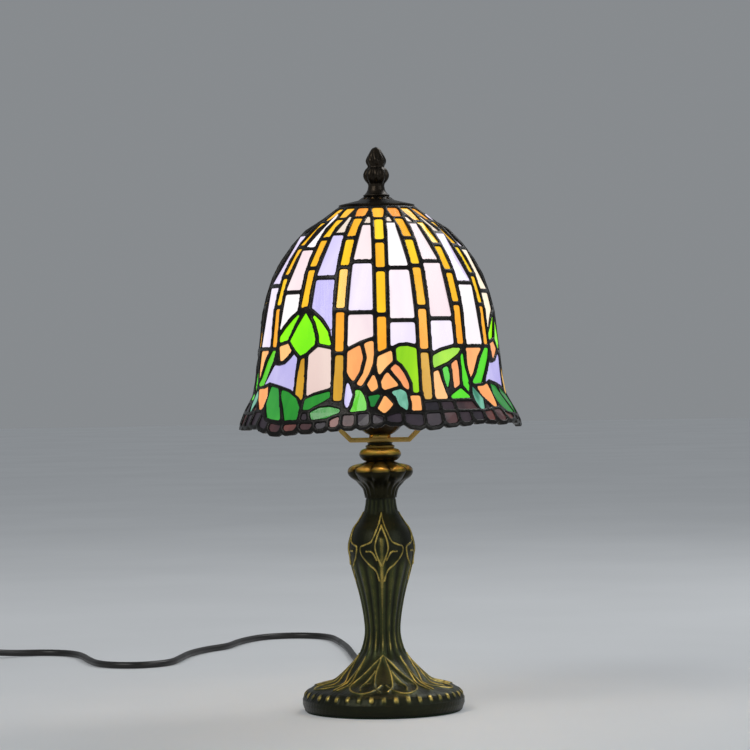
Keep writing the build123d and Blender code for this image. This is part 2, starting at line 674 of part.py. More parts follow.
def shrink(ring, distance, steps=8):
    """The ring moved inward by a distance, a little at a time so that short edges can vanish."""
    for _ in range(steps):
        ring = tidy(ring, 0.35, 0.02)
        moved = []
        for i, q in enumerate(ring):
            p, r = ring[i - 1], ring[(i + 1) % len(ring)]
            a = math.atan2(q[1] - p[1], q[0] - p[0])
            b = math.atan2(r[1] - q[1], r[0] - q[0])
            half = math.remainder(b - a, 2 * math.pi) / 2
            reach = distance / steps / max(math.cos(half), 0.2)
            way = a + half + math.pi / 2
            moved.append((q[0] + reach * math.cos(way), q[1] + reach * math.sin(way)))
        ring = without_flips(ring, moved)
    return tidy(ring, 0.5, 0.05)


def flat_frame(ring):
    """The plane that a ring on the shade lies nearest to, facing outward."""
    points = [on_shade(*p) for p in ring]
    centre = sum(points, Vector()) * (1 / len(points))
    normal = sum((p.cross(q) for p, q in zip(points, points[1:] + points[:1])), Vector())
    x_way = Vector(0, 0, 1).cross(normal.normalized())
    return Plane(centre, x_dir=x_way, z_dir=normal.normalized()), points


def outline_of(ring, inset):
    """A ring's flat outline, moved inward: its plane, its corners in the plane and its area."""
    plane, points = flat_frame(ring)
    local = [plane.to_local_coords(p) for p in points]
    corners = shrink([(p.X, p.Y) for p in local], inset)
    area = signed_area(corners) if len(corners) > 2 else 0.0
    return plane, corners, area


def plate(plane, corners, back, front):
    """A flat plate with the given corners, from back to front of its plane."""
    face = Face(Wire.make_polygon([Vector(x, y, back) for x, y in corners], close=True))
    return plane * Solid.extrude(face, Vector(0, 0, front - back))


def colour_of(ring):
    """The glass that a ring is cut from."""
    middle = (sum(p[0] for p in ring) / len(ring), sum(p[1] for p in ring) / len(ring))
    for colour, seeds in COLOURS.items():
        if any(holds(ring, seed) for seed in seeds):
            return colour
    if middle[1] < PLUM_BELOW:
        return "plum"
    place = (middle[0] - FIRST_STALK) / STALK_PITCH
    nearest = FIRST_STALK + STALK_PITCH * round(place)
    width = max(p[0] for p in ring) - min(p[0] for p in ring)
    if middle[1] > 342:
        return "orange" if round(place) in (2, 6) else "amber"
    if abs(middle[0] - nearest) < 1.2 and width < 2.9 * stalk_half(middle[1]):
        return "amber"
    return "opal"


def make_shade():
    """The glass of every colour, and the solder lattice that holds it."""
    panes, windows = {}, []
    for ring in faces_between(third_seams()):
        plane, corners, area = outline_of(ring, SEAM_HALF)
        if area < SMALLEST_PANE:
            continue
        colour = colour_of(ring)
        panes.setdefault(colour, []).append(plate(plane, corners, -PANE_T / 2, PANE_T / 2))
        windows.append(plate(plane, corners, -LATTICE_T, LATTICE_T))
    for left, right in zip(BORDER_CUTS, BORDER_CUTS[1:] + [BORDER_CUTS[0] + SECTOR_DEG]):
        quarter, below = (right - left) / 4, SEAM_HALF
        near, far = left - RIM_OVERLAP, right + RIM_OVERLAP
        gap = [(near, RIM_NOTCH_Z - below), (near, RIM_FLOOR), (far, RIM_FLOOR),
               (far, RIM_NOTCH_Z - below), (right - quarter, RIM_LOBE_Z - below),
               (left + quarter, RIM_LOBE_Z - below)]
        plane, points = flat_frame(gap)
        local = [plane.to_local_coords(p) for p in points]
        windows.append(plate(plane, [(p.X, p.Y) for p in local], -2 * LATTICE_T, 2 * LATTICE_T))
    outer, inner = offset_profile(0), offset_profile(LATTICE_T)
    shell = lathe(*(outer + list(reversed(inner))))
    turns = [Rot(0, 0, SECTOR_DEG * k) for k in range(SECTORS)]
    lattice = shell.cut(*[turn * w for turn in turns for w in windows])
    return {c: [turn * p for turn in turns for p in found] for c, found in panes.items()}, lattice


def make_shade_ring():
    """The brass ring soldered inside the shade's top edge."""
    top, low = offset_profile(0)[0], offset_profile(LATTICE_T)[0]
    inner = low[0] - 2.8
    return lathe((inner, low[1]), low, top, (inner, top[1]))


# ---- Cap and finial -------------------------------------------------------------------------------

def make_cap():
    """The vented cap: a shallow cone, a steeper collar with a ring of vents, and a flat hub."""
    r, z, t = CAP_R, CAP_EDGE_Z, CAP_T
    (knee_r, knee_z), (hub_r, hub_z) = CAP_KNEE, CAP_HUB
    cone = lathe(
        (r, z + 0.3), (r, z + 1.6), CAP_KNEE, CAP_HUB, (STUD_HOLE_R, hub_z), (STUD_HOLE_R, hub_z - t),
        (hub_r - 0.4, hub_z - t), (knee_r - 0.5, knee_z - t), (r - 2, z + 0.3),
    )
    slope = math.degrees(math.atan2(hub_z - knee_z, knee_r - hub_r))
    middle = Pos((knee_r + hub_r) / 2, 0, (knee_z + hub_z) / 2) * Rot(0, slope, 0)
    vents = [Rot(0, 0, 360 * (i + 0.5) / VENTS - 90) * middle * Cylinder(VENT_R, 8) for i in range(VENTS)]
    return cone.cut(*vents)


def make_seat_spacer():
    """The spacer between the stud's seat and the cap."""
    low = HARP_TOP_Z + HARP_T / 2 + STUD_SEAT_T
    return tube(8.2, STUD_HOLE_R, low, CAP_HUB[1] - CAP_T - 0.05)


def make_finial():
    """The turned knob that holds the shade down, bored below for its threaded insert."""
    bottom = (9.1, FINIAL_BASE_Z)
    bore_top = STUD_TOP + 2.0
    body = turned(
        line(bottom, FINIAL[0]), smooth(FINIAL + [(0, FINIAL_TOP_Z)]),
        line((0, FINIAL_TOP_Z), (0, bore_top)), line((0, bore_top), (INSERT_R, bore_top)),
        line((INSERT_R, bore_top), (INSERT_R, FINIAL_BASE_Z)), line((INSERT_R, FINIAL_BASE_Z), bottom),
    )
    return body


def make_insert():
    """The threaded brass insert inside the finial."""
    return tube(INSERT_R - 0.15, STUD_R + 0.1, FINIAL_BASE_Z + 0.4, STUD_TOP + 1.2)


# ---- Mains lead -----------------------------------------------------------------------------------

HEADING = Vector(math.cos(math.radians(SWITCH_HEADING)), math.sin(math.radians(SWITCH_HEADING)), 0)
ENTRY = Vector(SWITCH_ENTRY[0], SWITCH_ENTRY[1], SWITCH_CORD_Z)
SWITCH_EXIT = ENTRY + HEADING * SWITCH_SIZE[0]
COIL_TOUCH = SWITCH_EXIT + HEADING * (BOOT_L + COIL_LEAD)
COIL_CENTRE = COIL_TOUCH + HEADING.rotate(Axis.Z, -90) * (COIL_R + CORD_R)

# The lead's route on the floor, from the strain relief to the in-line switch: (x, y, height).
FLOOR = CORD_R
LEAD = [
    (0, RELIEF_END_Y + CORD_GAP, EXIT_Z), (-1, 116, 4.0), (-5, 158, FLOOR), (-13, 206, FLOOR),
    (-19, 262, FLOOR),
    (-20, 320, FLOOR), (-25, 376, FLOOR), (-29, 430, FLOOR), (-36, 484, FLOOR), (-46, 540, FLOOR),
    (-74, 558, FLOOR), (-107, 548, FLOOR), (-126, 504, FLOOR), (-133, 462, FLOOR), (-150, 438, FLOOR),
    (-163, 402, FLOOR), (-168, 362, FLOOR), (-173, 326, FLOOR), (-199, 307, FLOOR), (-230, 319, FLOOR),
    (-244, 362, FLOOR), (-252, 396, FLOOR), (-265, 420, FLOOR), (-288, 430, FLOOR),
    (-314, 420, FLOOR), tuple(ENTRY - HEADING * (BOOT_L + CORD_GAP)),
]


def bend_radii(points):
    """The largest tangent arc that each corner's two runs leave room for."""
    radii = []
    for p, q, r in zip(points, points[1:], points[2:]):
        a, b = Vector(q) - Vector(p), Vector(r) - Vector(q)
        half = math.radians(a.get_angle(b)) / 2
        radii.append(0.45 * min(a.length, b.length) / math.tan(half))
    return radii


def cord(name, points):
    """A round cord along straight runs joined by tangent arcs."""
    if len(points) > 2:
        radii = bend_radii(points)
        path = FilletPolyline(*points, radius=radii)
        print(name, "radii", [round(r) for r in radii])
    else:
        path = Line(*points)
    solid = sweep(Plane(path @ 0, z_dir=path % 0) * Circle(CORD_R), path)
    share = solid.volume / (math.pi * CORD_R ** 2 * path.length)
    print(f"{name}: length {path.length:.0f}, volume share {share:.4f}")
    return solid


def coil_ring():
    """The outer shape of the coil."""
    x, y = COIL_CENTRE.X, COIL_CENTRE.Y
    return Pos(x, y, 0) * tube(COIL_R + COIL_HALF_W, COIL_R - COIL_HALF_W, 0, COIL_H)


def make_tail():
    """The lead between the switch and the coil, as far as the coil's outside."""
    start = SWITCH_EXIT + HEADING * (BOOT_L + CORD_GAP)
    middle = start + HEADING * (COIL_LEAD * 0.5)
    points = [tuple(start), (middle.X, middle.Y, FLOOR + 0.6), (COIL_TOUCH.X, COIL_TOUCH.Y, FLOOR)]
    return cord("cord_tail", points) - coil_ring()


PLUG_X = COIL_CENTRE.X - COIL_R - CORD_R


def make_plug_tail():
    """The lead between the coil and the plug."""
    plug_z = PLUG_SIZE[2] / 2
    points = [
        (PLUG_X, COIL_CENTRE.Y, FLOOR), (PLUG_X - 1, COIL_CENTRE.Y + 30, FLOOR + 0.4),
        (PLUG_X, PLUG_Y - BOOT_L - CORD_GAP, plug_z),
    ]
    return cord("plug_tail", points) - coil_ring()


def place_switch(shape):
    """A shape from the switch's own frame, X along the lead from its entry end, to its place on the floor."""
    return Pos(ENTRY.X, ENTRY.Y, 0) * Rot(0, 0, SWITCH_HEADING) * shape


def make_switch():
    """The in-line switch: two shells, two screws, two contacts, two boots and the rocker."""
    long, wide, high = SWITCH_SIZE
    part_z, wall = high / 2 - 0.5, 1.8
    block = Pos(long / 2, 0, high / 2) * Box(long, wide, high)
    block = fillet(block.edges().filter_by(Axis.Z), 7.0)
    block = fillet(block.faces().sort_by(Axis.Z)[-1].edges() + block.faces().sort_by(Axis.Z)[0].edges(), 1.8)
    inside = Pos(long / 2, 0, high / 2) * Box(long - 2 * wall, wide - 2 * wall, high - 2 * wall)
    inside = fillet(inside.edges().filter_by(Axis.Z), 5.4)
    posts = [Pos(x, 0, 0) * Cylinder(3.0, high - 1.0, align=(Align.CENTER, Align.CENTER, Align.MIN))
             for x in (9.0, long - 9.0)]
    hollow = block - inside + [p & block for p in posts]
    below = Pos(long / 2, 0, part_z / 2) * Box(2 * long, 2 * wide, part_z)
    bores = [Pos(x, 0, 0) * Cylinder(1.3, 2 * high - 6) for x in (9.0, long - 9.0)]
    heads = [Pos(x, 0, 0) * Cylinder(2.5, 4.0) for x in (9.0, long - 9.0)]
    window = Pos(long / 2, 0, high) * Box(ROCKER_SIZE[0] + 2.2, ROCKER_SIZE[1] + 0.8, 2 * wall + 0.2)
    pivot = Pos(long / 2, 0, high - ROCKER_PIVOT_DEPTH)
    lug_y = ROCKER_SIZE[1] / 2 + 0.2 + LUG_T / 2
    lug_h = ROCKER_PIVOT_DEPTH - wall + 2.4
    lugs = [Pos(long / 2, side * lug_y, high - wall - lug_h / 2) * Box(5.2, LUG_T, lug_h) for side in (-1, 1)]
    pin_hole = pivot * Rot(90, 0, 0) * Cylinder(PIVOT_R + 0.06, 2 * lug_y + LUG_T)
    ends = Pos(long / 2, 0, SWITCH_CORD_Z) * Rot(0, 90, 0) * Cylinder(CORD_R, 2 * long)
    lower = (hollow & below) - bores - heads - ends
    upper = hollow - below - bores - window - ends + lugs - pin_hole
    screws = [Pos(x, 0, 0) * (disc(2.3, 0.6, 1.9) + disc(1.2, 1.9, high - 4)) for x in (9.0, long - 9.0)]
    contacts = [Pos(x, y, 4.0) * Box(12.0, 1.0, 4.0) for x, y in ((24.0, 4.0), (36.0, 4.0))]
    top = ROCKER_PIVOT_DEPTH + 1.4
    crown = Pos(0, 0, top - ROCKER_CROWN_R) * Rot(90, 0, 0) * Cylinder(ROCKER_CROWN_R, ROCKER_SIZE[1])
    key = crown & Pos(0, 0, top - ROCKER_SIZE[2] / 2) * Box(*ROCKER_SIZE)
    key += Rot(90, 0, 0) * Cylinder(PIVOT_R, 2 * lug_y + LUG_T)
    rocker = pivot * Rot(0, ROCKER_TILT, 0) * key
    boots = [
        Pos(-BOOT_L / 2, 0, SWITCH_CORD_Z) * Rot(0, 90, 0) * Cone(CORD_R, CORD_R + 1.4, BOOT_L),
        Pos(long + BOOT_L / 2, 0, SWITCH_CORD_Z) * Rot(0, 90, 0) * Cone(CORD_R + 1.4, CORD_R, BOOT_L),
    ]
    save("switch_lower_shell", place_switch(lower))
    save("switch_upper_shell", place_switch(upper))
    save("switch_screws", *[place_switch(s) for s in screws])
    save("switch_contacts", *[place_switch(c) for c in contacts])
    save("switch_boots", *[place_switch(b) for b in boots])
    save("switch_rocker", place_switch(rocker))


def make_plug():
    """The plug: a moulded body with a finger waist, a boot and two flat pins."""
    wide, long, high = PLUG_SIZE
    middle = (PLUG_X, PLUG_Y + long / 2, high / 2)
    body = fillet(Box(wide, long, high).edges().filter_by(Axis.Y), 5.0)
    for side in (-1, 1):
        body -= Pos(side * (wide / 2 + 9.0), -3.0, 0) * Cylinder(11.0, 2 * high)
    boot = Pos(0, -long / 2 - BOOT_L / 2, 0) * Rot(-90, 0, 0) * Cone(CORD_R, CORD_R + 1.8, BOOT_L)
    pins = [
        Pos(side * PIN_PITCH / 2, long / 2 + PIN_SIZE[1] / 2, 0) * Box(*PIN_SIZE) for side in (-1, 1)
    ]
    save("plug_body", Pos(*middle) * body)
    save("plug_boot", Pos(*middle) * boot)
    save("plug_pins", *[Pos(*middle) * p for p in pins])


# ---- Everything -----------------------------------------------------------------------------------

def make_base():
    ceiling_washer = (CEILING_Z - WASHER_T, CEILING_Z)
    save("felt_pad", disc(FELT_R, 0, FELT_T))
    save("column", make_casting())
    save("crown", make_crown())
    save("neck_knob", make_knob())
    save("neck_spacer", tube(SPACER_R, PIPE_HOLE_R, KNOB_Z[1], SPACER_TOP))
    save("threaded_pipe", tube(PIPE_R, PIPE_BORE_R, *PIPE_Z))
    save("foot_washer", tube(WASHER_R, PIPE_HOLE_R, *ceiling_washer))
    save("foot_nut", hex_nut(ceiling_washer[0] - NUT_T, ceiling_washer[0], bore=PIPE_R + 0.02))
    save("grommet", make_grommet())
    save("strain_relief", make_relief())
    save("lead_inside", make_lead_inside())


def make_light():
    harp_top = HARP_BOTTOM_Z + HARP_T / 2
    save("harp", make_harp())
    save("harp_stud", make_stud())
    save("holder_washer", tube(7.6, PIPE_HOLE_R - 0.3, harp_top, HOLDER_BOTTOM_Z))
    save("holder_nut", hex_nut(HOLDER_BOTTOM_Z + HOLDER_FLOOR_T, PIPE_Z[1] - 0.6, bore=PIPE_R + 0.02))
    save("holder_cup", make_holder_cup())
    save("holder_shell", make_holder_shell())
    save("holder_ceramic", make_ceramic())
    save("holder_screw_shell", make_liner())
    save("holder_contact", make_centre_contact())
    save("terminal_screws", *make_terminal_screws())
    save("bulb_glass", make_bulb_glass())
    save("bulb_cap", make_bulb_cap())
    save("bulb_contact", make_bulb_contact())
    save("bulb_stem", make_stem())
    save("bulb_filament", make_filament())


def make_top():
    glass, lattice = make_shade()
    for colour, found in glass.items():
        save(f"glass_{colour}", *found)
        print(colour, len(found))
    save("shade_lattice", lattice)
    save("shade_ring", make_shade_ring())
    save("heat_cap", make_cap())
    save("seat_spacer", make_seat_spacer())
    save("finial", make_finial())
    save("finial_insert", make_insert())


def make_lead():
    save("cord_lead", cord("cord_lead", LEAD))
    save("cord_tail", make_tail())
    save("cord_coil", coil_ring())
    save("cord_plug_tail", make_plug_tail())
    print("coil centre", tuple(COIL_CENTRE), "touch", tuple(COIL_TOUCH), "plug x", PLUG_X)
    make_switch()
    make_plug()


if __name__ == "__main__":
    make_base()
    make_light()
    make_lead()
    make_top()
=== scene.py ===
"""Stained glass table lamp: a lit shade of leaded glass on a cast column, with its mains lead."""
import math

import bmesh
import bpy
import numpy as np
from mathutils import Matrix, Vector, kdtree


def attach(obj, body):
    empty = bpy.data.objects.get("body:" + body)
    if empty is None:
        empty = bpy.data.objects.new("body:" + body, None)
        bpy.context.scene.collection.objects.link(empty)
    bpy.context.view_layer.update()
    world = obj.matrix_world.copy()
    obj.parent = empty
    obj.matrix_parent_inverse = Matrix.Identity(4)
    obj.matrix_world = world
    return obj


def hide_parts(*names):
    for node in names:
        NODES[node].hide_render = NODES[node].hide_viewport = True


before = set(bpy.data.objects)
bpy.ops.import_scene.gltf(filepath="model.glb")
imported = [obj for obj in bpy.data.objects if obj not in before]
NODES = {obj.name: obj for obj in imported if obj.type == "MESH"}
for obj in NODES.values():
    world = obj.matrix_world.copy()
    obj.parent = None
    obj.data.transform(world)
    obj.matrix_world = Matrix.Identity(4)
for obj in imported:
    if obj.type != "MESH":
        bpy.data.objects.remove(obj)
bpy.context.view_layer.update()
MM = 0.001

# The middle of the bulb, which is also where the light in the shade comes from.
BULB_Z = 285.0
BULB_R = 27.5
BULB_AT = Vector((0, 0, 0.285))

# ---- Camera and placing ---------------------------------------------------------------------------

CAMERA_PLACE = (-0.0028, -2.0, 0.2352)
CAMERA_ROLL = 0.83
CAMERA_LENS = 136.8

camera = bpy.data.objects.new("camera", bpy.data.cameras.new("camera"))
bpy.context.scene.collection.objects.link(camera)
camera.location = CAMERA_PLACE
camera.rotation_euler = (math.radians(90), math.radians(CAMERA_ROLL), 0)
camera.data.lens = CAMERA_LENS
camera.data.sensor_width = 36.0
camera.data.clip_end = 50.0
bpy.context.scene.camera = camera
bpy.context.scene.view_settings.view_transform = "Standard"


def add_object(name, data):
    made = bpy.data.objects.new(name, data)
    bpy.context.scene.collection.objects.link(made)
    return made


def area_light(name, place, aim, size, energy, colour):
    data = bpy.data.lights.new(name, "AREA")
    data.shape = "RECTANGLE"
    data.size, data.size_y = size
    data.energy = energy
    data.color = colour
    light = add_object(name, data)
    light.location = place
    light.rotation_euler = (Vector(aim) - Vector(place)).to_track_quat("-Z", "Y").to_euler()


# ---- Node helpers ---------------------------------------------------------------------------------

def linear(r, g, b):
    """An sRGB colour, 0 to 255, as linear light."""
    values = [v / 255 for v in (r, g, b)]
    return [v / 12.92 if v <= 0.04045 else ((v + 0.055) / 1.055) ** 2.4 for v in values]


class Shader:
    """A material's node tree with one principled shader."""

    def __init__(self, name, metallic=0.0, roughness=0.5, ior=1.5):
        self.material = bpy.data.materials.new(name)
        self.material.use_nodes = True
        self.tree = self.material.node_tree
        self.tree.nodes.clear()
        self.output = self.tree.nodes.new("ShaderNodeOutputMaterial")
        self.shader = self.tree.nodes.new("ShaderNodeBsdfPrincipled")
        self.shader.inputs["Metallic"].default_value = metallic
        self.shader.inputs["Roughness"].default_value = roughness
        self.shader.inputs["IOR"].default_value = ior
        self.link(self.shader.outputs[0], self.output.inputs["Surface"])
        self.place = self.tree.nodes.new("ShaderNodeTexCoord").outputs["Object"]

    def link(self, out, into):
        self.tree.links.new(out, into)

    def noise(self, scale, detail=3.0, rough=0.5, distortion=0.0, at=None, stretch=None):
        node = self.tree.nodes.new("ShaderNodeTexNoise")
        node.inputs["Scale"].default_value = scale
        node.inputs["Detail"].default_value = detail
        node.inputs["Roughness"].default_value = rough
        node.inputs["Distortion"].default_value = distortion
        source = at or self.place
        if stretch:
            mapping = self.tree.nodes.new("ShaderNodeMapping")
            mapping.inputs["Scale"].default_value = stretch
            self.link(source, mapping.inputs["Vector"])
            source = mapping.outputs[0]
        self.link(source, node.inputs["Vector"])
        return node.outputs["Fac"]

    def ramp(self, value, *stops):
        node = self.tree.nodes.new("ShaderNodeValToRGB")
        ramp = node.color_ramp
        while len(ramp.elements) < len(stops):
            ramp.elements.new(0.5)
        for element, (at, colour) in zip(ramp.elements, stops):
            element.position = at
            element.color = (*colour, 1.0) if hasattr(colour, "__len__") else (colour, colour, colour, 1.0)
        self.link(value, node.inputs["Fac"])
        return node.outputs["Color"]

    def mix(self, amount, a, b, blend="MIX"):
        node = self.tree.nodes.new("ShaderNodeMix")
        node.data_type = "RGBA"
        node.blend_type = blend
        for socket, value in ((node.inputs["Factor"], amount), (node.inputs[6], a), (node.inputs[7], b)):
            if isinstance(value, bpy.types.NodeSocket):
                self.link(value, socket)
            elif hasattr(value, "__len__"):
                socket.default_value = (*value, 1.0)
            else:
                socket.default_value = value
        return node.outputs[2]

    def math(self, operation, a, b=0.0):
        node = self.tree.nodes.new("ShaderNodeMath")
        node.operation = operation
        for socket, value in zip(node.inputs, (a, b)):
            if isinstance(value, bpy.types.NodeSocket):
                self.link(value, socket)
            else:
                socket.default_value = value
        return node.outputs[0]

    def attribute(self, name, output="Color"):
        node = self.tree.nodes.new("ShaderNodeAttribute")
        node.attribute_name = name
        return node.outputs[output]

    def bump(self, height, distance):
        node = self.tree.nodes.new("ShaderNodeBump")
        node.inputs["Strength"].default_value = 1.0
        node.inputs["Distance"].default_value = distance
        self.link(height, node.inputs["Height"])
        self.link(node.outputs[0], self.shader.inputs["Normal"])

    def colour(self, value):
        self.link(value, self.shader.inputs["Base Color"])

    def roughness(self, value):
        self.link(value, self.shader.inputs["Roughness"])


def plain(name, dark, light, metallic, roughness, scale=300.0, grain=0.00006):
    """A material with two tones of one colour, uneven gloss and a fine grain."""
    s = Shader(name, metallic, roughness)
    broad = s.noise(scale * 0.2, 4.0, 0.6)
    fine = s.noise(scale * 4, 3.0, 0.6)
    s.colour(s.ramp(broad, (0.3, dark), (0.7, light)))
    s.roughness(s.ramp(broad, (0.25, max(roughness - 0.08, 0.03)), (0.75, roughness + 0.1)))
    s.bump(fine, grain)
    return s.material


def bronze_material():
    """Cast bronze with a green-black patina, olive where it is thin and gold where it is rubbed through."""
    s = Shader("bronze_patina", 0.75, 0.4)
    broad = s.noise(55.0, 5.0, 0.62)
    fine = s.noise(900.0, 4.0, 0.6)
    ground = s.ramp(broad, (0.3, linear(42, 46, 24)), (0.55, linear(66, 72, 38)), (0.75, linear(92, 92, 50)))
    patchy = s.ramp(s.noise(38.0, 4.0, 0.6), (0.32, 0.5), (0.6, 1.0))
    worn_and_lit = s.math("MULTIPLY", s.attribute("wear_and_highlight", "Fac"), s.math("ADD", s.noise(240.0, 4.0, 0.7), 0.42))
    gilt = s.ramp(fine, (0.3, linear(168, 144, 64)), (0.7, linear(224, 198, 108)))
    rubbed = s.math("MULTIPLY", s.ramp(worn_and_lit, (0.26, 0.0), (0.64, 1.0)), patchy)
    deep = s.mix(s.ramp(s.attribute("hollow", "Fac"), (0.2, 0.0), (0.95, 0.85)), ground, linear(20, 21, 13))
    s.colour(s.mix(rubbed, deep, gilt))
    s.roughness(s.ramp(broad, (0.3, 0.3), (0.7, 0.46)))
    s.bump(s.math("ADD", fine, s.math("MULTIPLY", broad, 3.0)), 0.00012)
    return s.material


def gold_material(name, low, high):
    """Antique gold over a dark ground, worn brighter on what stands out, and with a painted highlight on
    top-facing parts as if lit from above.
    """
    s = Shader(name, 0.9, 0.34)
    broad = s.noise(90.0, 5.0, 0.65)
    fine = s.noise(1100.0, 3.0, 0.6)
    worn_and_lit = s.math("ADD", s.attribute("wear_and_highlight", "Fac"), s.math("MULTIPLY", broad, 0.5))
    s.colour(s.ramp(worn_and_lit, (0.34, low), (0.62, [(a + b) / 2 for a, b in zip(low, high)]), (1.0, high)))
    s.roughness(s.ramp(broad, (0.3, 0.26), (0.7, 0.42)))
    s.bump(fine, 0.00007)
    return s.material


def glass_material(name, scale, stretch, gloss):
    """Streaky sheet glass lit from inside: each pane's own two tones, drawn out along its own grain."""
    s = Shader(name, 0.0, gloss, 1.52)
    warp = s.noise(scale * 0.5, 3.0, 0.5)
    grain = s.attribute("grain", "Vector")
    streak = s.noise(scale, 5.0, 0.55, 0.6, at=grain, stretch=stretch)
    cloud = s.noise(scale * 0.35, 2.0, 0.5, at=grain)
    blend = s.math("ADD", s.math("MULTIPLY", streak, 0.6), s.math("MULTIPLY", cloud, 0.4))
    tone = s.mix(s.ramp(blend, (0.36, 0.0), (0.64, 1.0)), s.attribute("tint_a"), s.attribute("tint_b"))
    s.colour(s.mix(1.0, tone, (0.32, 0.32, 0.32), "MULTIPLY"))
    glow = s.mix(1.0, tone, s.attribute("glow"), "MULTIPLY")
    s.link(glow, s.shader.inputs["Emission Color"])
    s.shader.inputs["Emission Strength"].default_value = 1.0
    s.bump(s.math("ADD", warp, s.math("MULTIPLY", streak, 0.4)), 0.0006)
    return s.material


def solder_material():
    """Solder under a black patina, with a dull metal shine and paler flecks."""
    s = Shader("black_solder", 0.65, 0.34)
    broad = s.noise(70.0, 5.0, 0.65)
    fine = s.noise(420.0, 4.0, 0.6)
    s.colour(s.ramp(broad, (0.35, linear(20, 19, 17)), (0.6, linear(34, 32, 29)), (0.82, linear(74, 70, 62))))
    s.roughness(s.ramp(fine, (0.3, 0.24), (0.7, 0.44)))
    s.bump(s.math("ADD", fine, broad), 0.00025)
    return s.material


def glowing(name, colour, strength):
    """A lit surface that is a little uneven."""
    s = Shader(name, 0.0, 0.4)
    soft = s.noise(40.0, 2.0)
    tone = s.ramp(soft, (0.3, colour), (0.7, [min(1.0, c * 1.06) for c in colour]))
    s.colour(tone)
    s.link(tone, s.shader.inputs["Emission Color"])
    s.shader.inputs["Emission Strength"].default_value = strength
    return s.material


BRONZE = bronze_material()
GOLD = gold_material("antique_gold", linear(34, 32, 18), linear(196, 164, 84))
HARP_GOLD = gold_material("harp_gold", linear(110, 88, 44), linear(204, 170, 98))
DARK_BRONZE = plain("dark_bronze", linear(24, 20, 16), linear(52, 44, 34), 0.85, 0.3)
BRASS = plain("brass", linear(150, 118, 52), linear(196, 162, 88), 1.0, 0.28)
STEEL = plain("zinc_steel", linear(120, 120, 118), linear(170, 170, 166), 1.0, 0.32)
NICKEL = plain("nickel", linear(150, 148, 142), linear(196, 194, 188), 1.0, 0.22)
CERAMIC = plain("ceramic", linear(214, 208, 192), linear(234, 230, 218), 0.0, 0.2)
RUBBER = plain("rubber", linear(20, 20, 20), linear(36, 35, 34), 0.0, 0.62, 500.0)
JACKET = plain("cord_jacket", linear(16, 14, 13), linear(34, 30, 27), 0.0, 0.38, 260.0, 0.00004)
PLASTIC = plain("black_plastic", linear(18, 18, 19), linear(30, 30, 32), 0.0, 0.3, 900.0)
ROCKER = plain("rocker_plastic", linear(40, 38, 36), linear(58, 55, 52), 0.0, 0.26, 900.0)
INSULATOR = plain("black_glass", linear(14, 14, 18), linear(26, 26, 32), 0.0, 0.12)
FELT = plain("felt", linear(22, 40, 28), linear(40, 62, 44), 0.0, 0.95, 700.0, 0.0003)
CLEAR = plain("clear_glass", linear(200, 214, 210), linear(228, 236, 234), 0.0, 0.06)
SOLDER = solder_material()
FROSTED = glowing("frosted_bulb", (1.0, 0.84, 0.6), 7.0)
FILAMENT = glowing("filament", (1.0, 0.62, 0.24), 20.0)

# ---- Floor ----------------------------------------------------------------------------------------

FLOOR_R = 12.0
FLOOR_DROP = 0.00002
FLOOR_SIDES = 96
SKY = (0.72, 0.76, 0.8, 1.0)


def stage():
    """One pale round floor that runs out to the horizon, so that nothing stands in the way of any view."""
    mesh = bpy.data.meshes.new("studio_floor")
    turns = [2 * math.pi * k / FLOOR_SIDES for k in range(FLOOR_SIDES)]
    points = [(FLOOR_R * math.cos(a), FLOOR_R * math.sin(a), -FLOOR_DROP) for a in turns]
    mesh.from_pydata(points, [], [tuple(range(FLOOR_SIDES))])
    floor = add_object("studio_floor", mesh)
    s = Shader("studio_paper", 0.0, 0.75)
    s.colour(s.ramp(s.noise(3.0, 3.0), (0.3, linear(196, 198, 200)), (0.7, linear(204, 206, 208))))
    s.shader.inputs["Emission Color"].default_value = SKY
    s.shader.inputs["Emission Strength"].default_value = 0.13
    mesh.materials.append(s.material)


stage()
area_light("key", (-1.7, -1.9, 2.2), (0, 0, 0.2), (1.6, 1.6), 34.0, (1.0, 0.98, 0.95))
area_light("fill", (2.2, -1.4, 1.2), (0, 0, 0.2), (1.6, 1.6), 14.0, (0.92, 0.96, 1.0))
area_light("rim", (0.9, 0.9, 1.6), (0, 0, 0.25), (0.9, 0.9), 10.0, (1.0, 1.0, 1.0))
bulb_light = bpy.data.lights.new("bulb_light", "POINT")
bulb_light.energy = 2.2
bulb_light.color = (1.0, 0.68, 0.36)
bulb_light.shadow_soft_size = 0.03
add_object("bulb_light", bulb_light).location = BULB_AT
world = bpy.data.worlds.new("studio")
world.use_nodes = True
sky = world.node_tree.nodes["Background"]
sky.inputs["Color"].default_value = SKY
sky.inputs["Strength"].default_value = 0.34
bpy.context.scene.world = world

# ---- Mains lead -----------------------------------------------------------------------------------

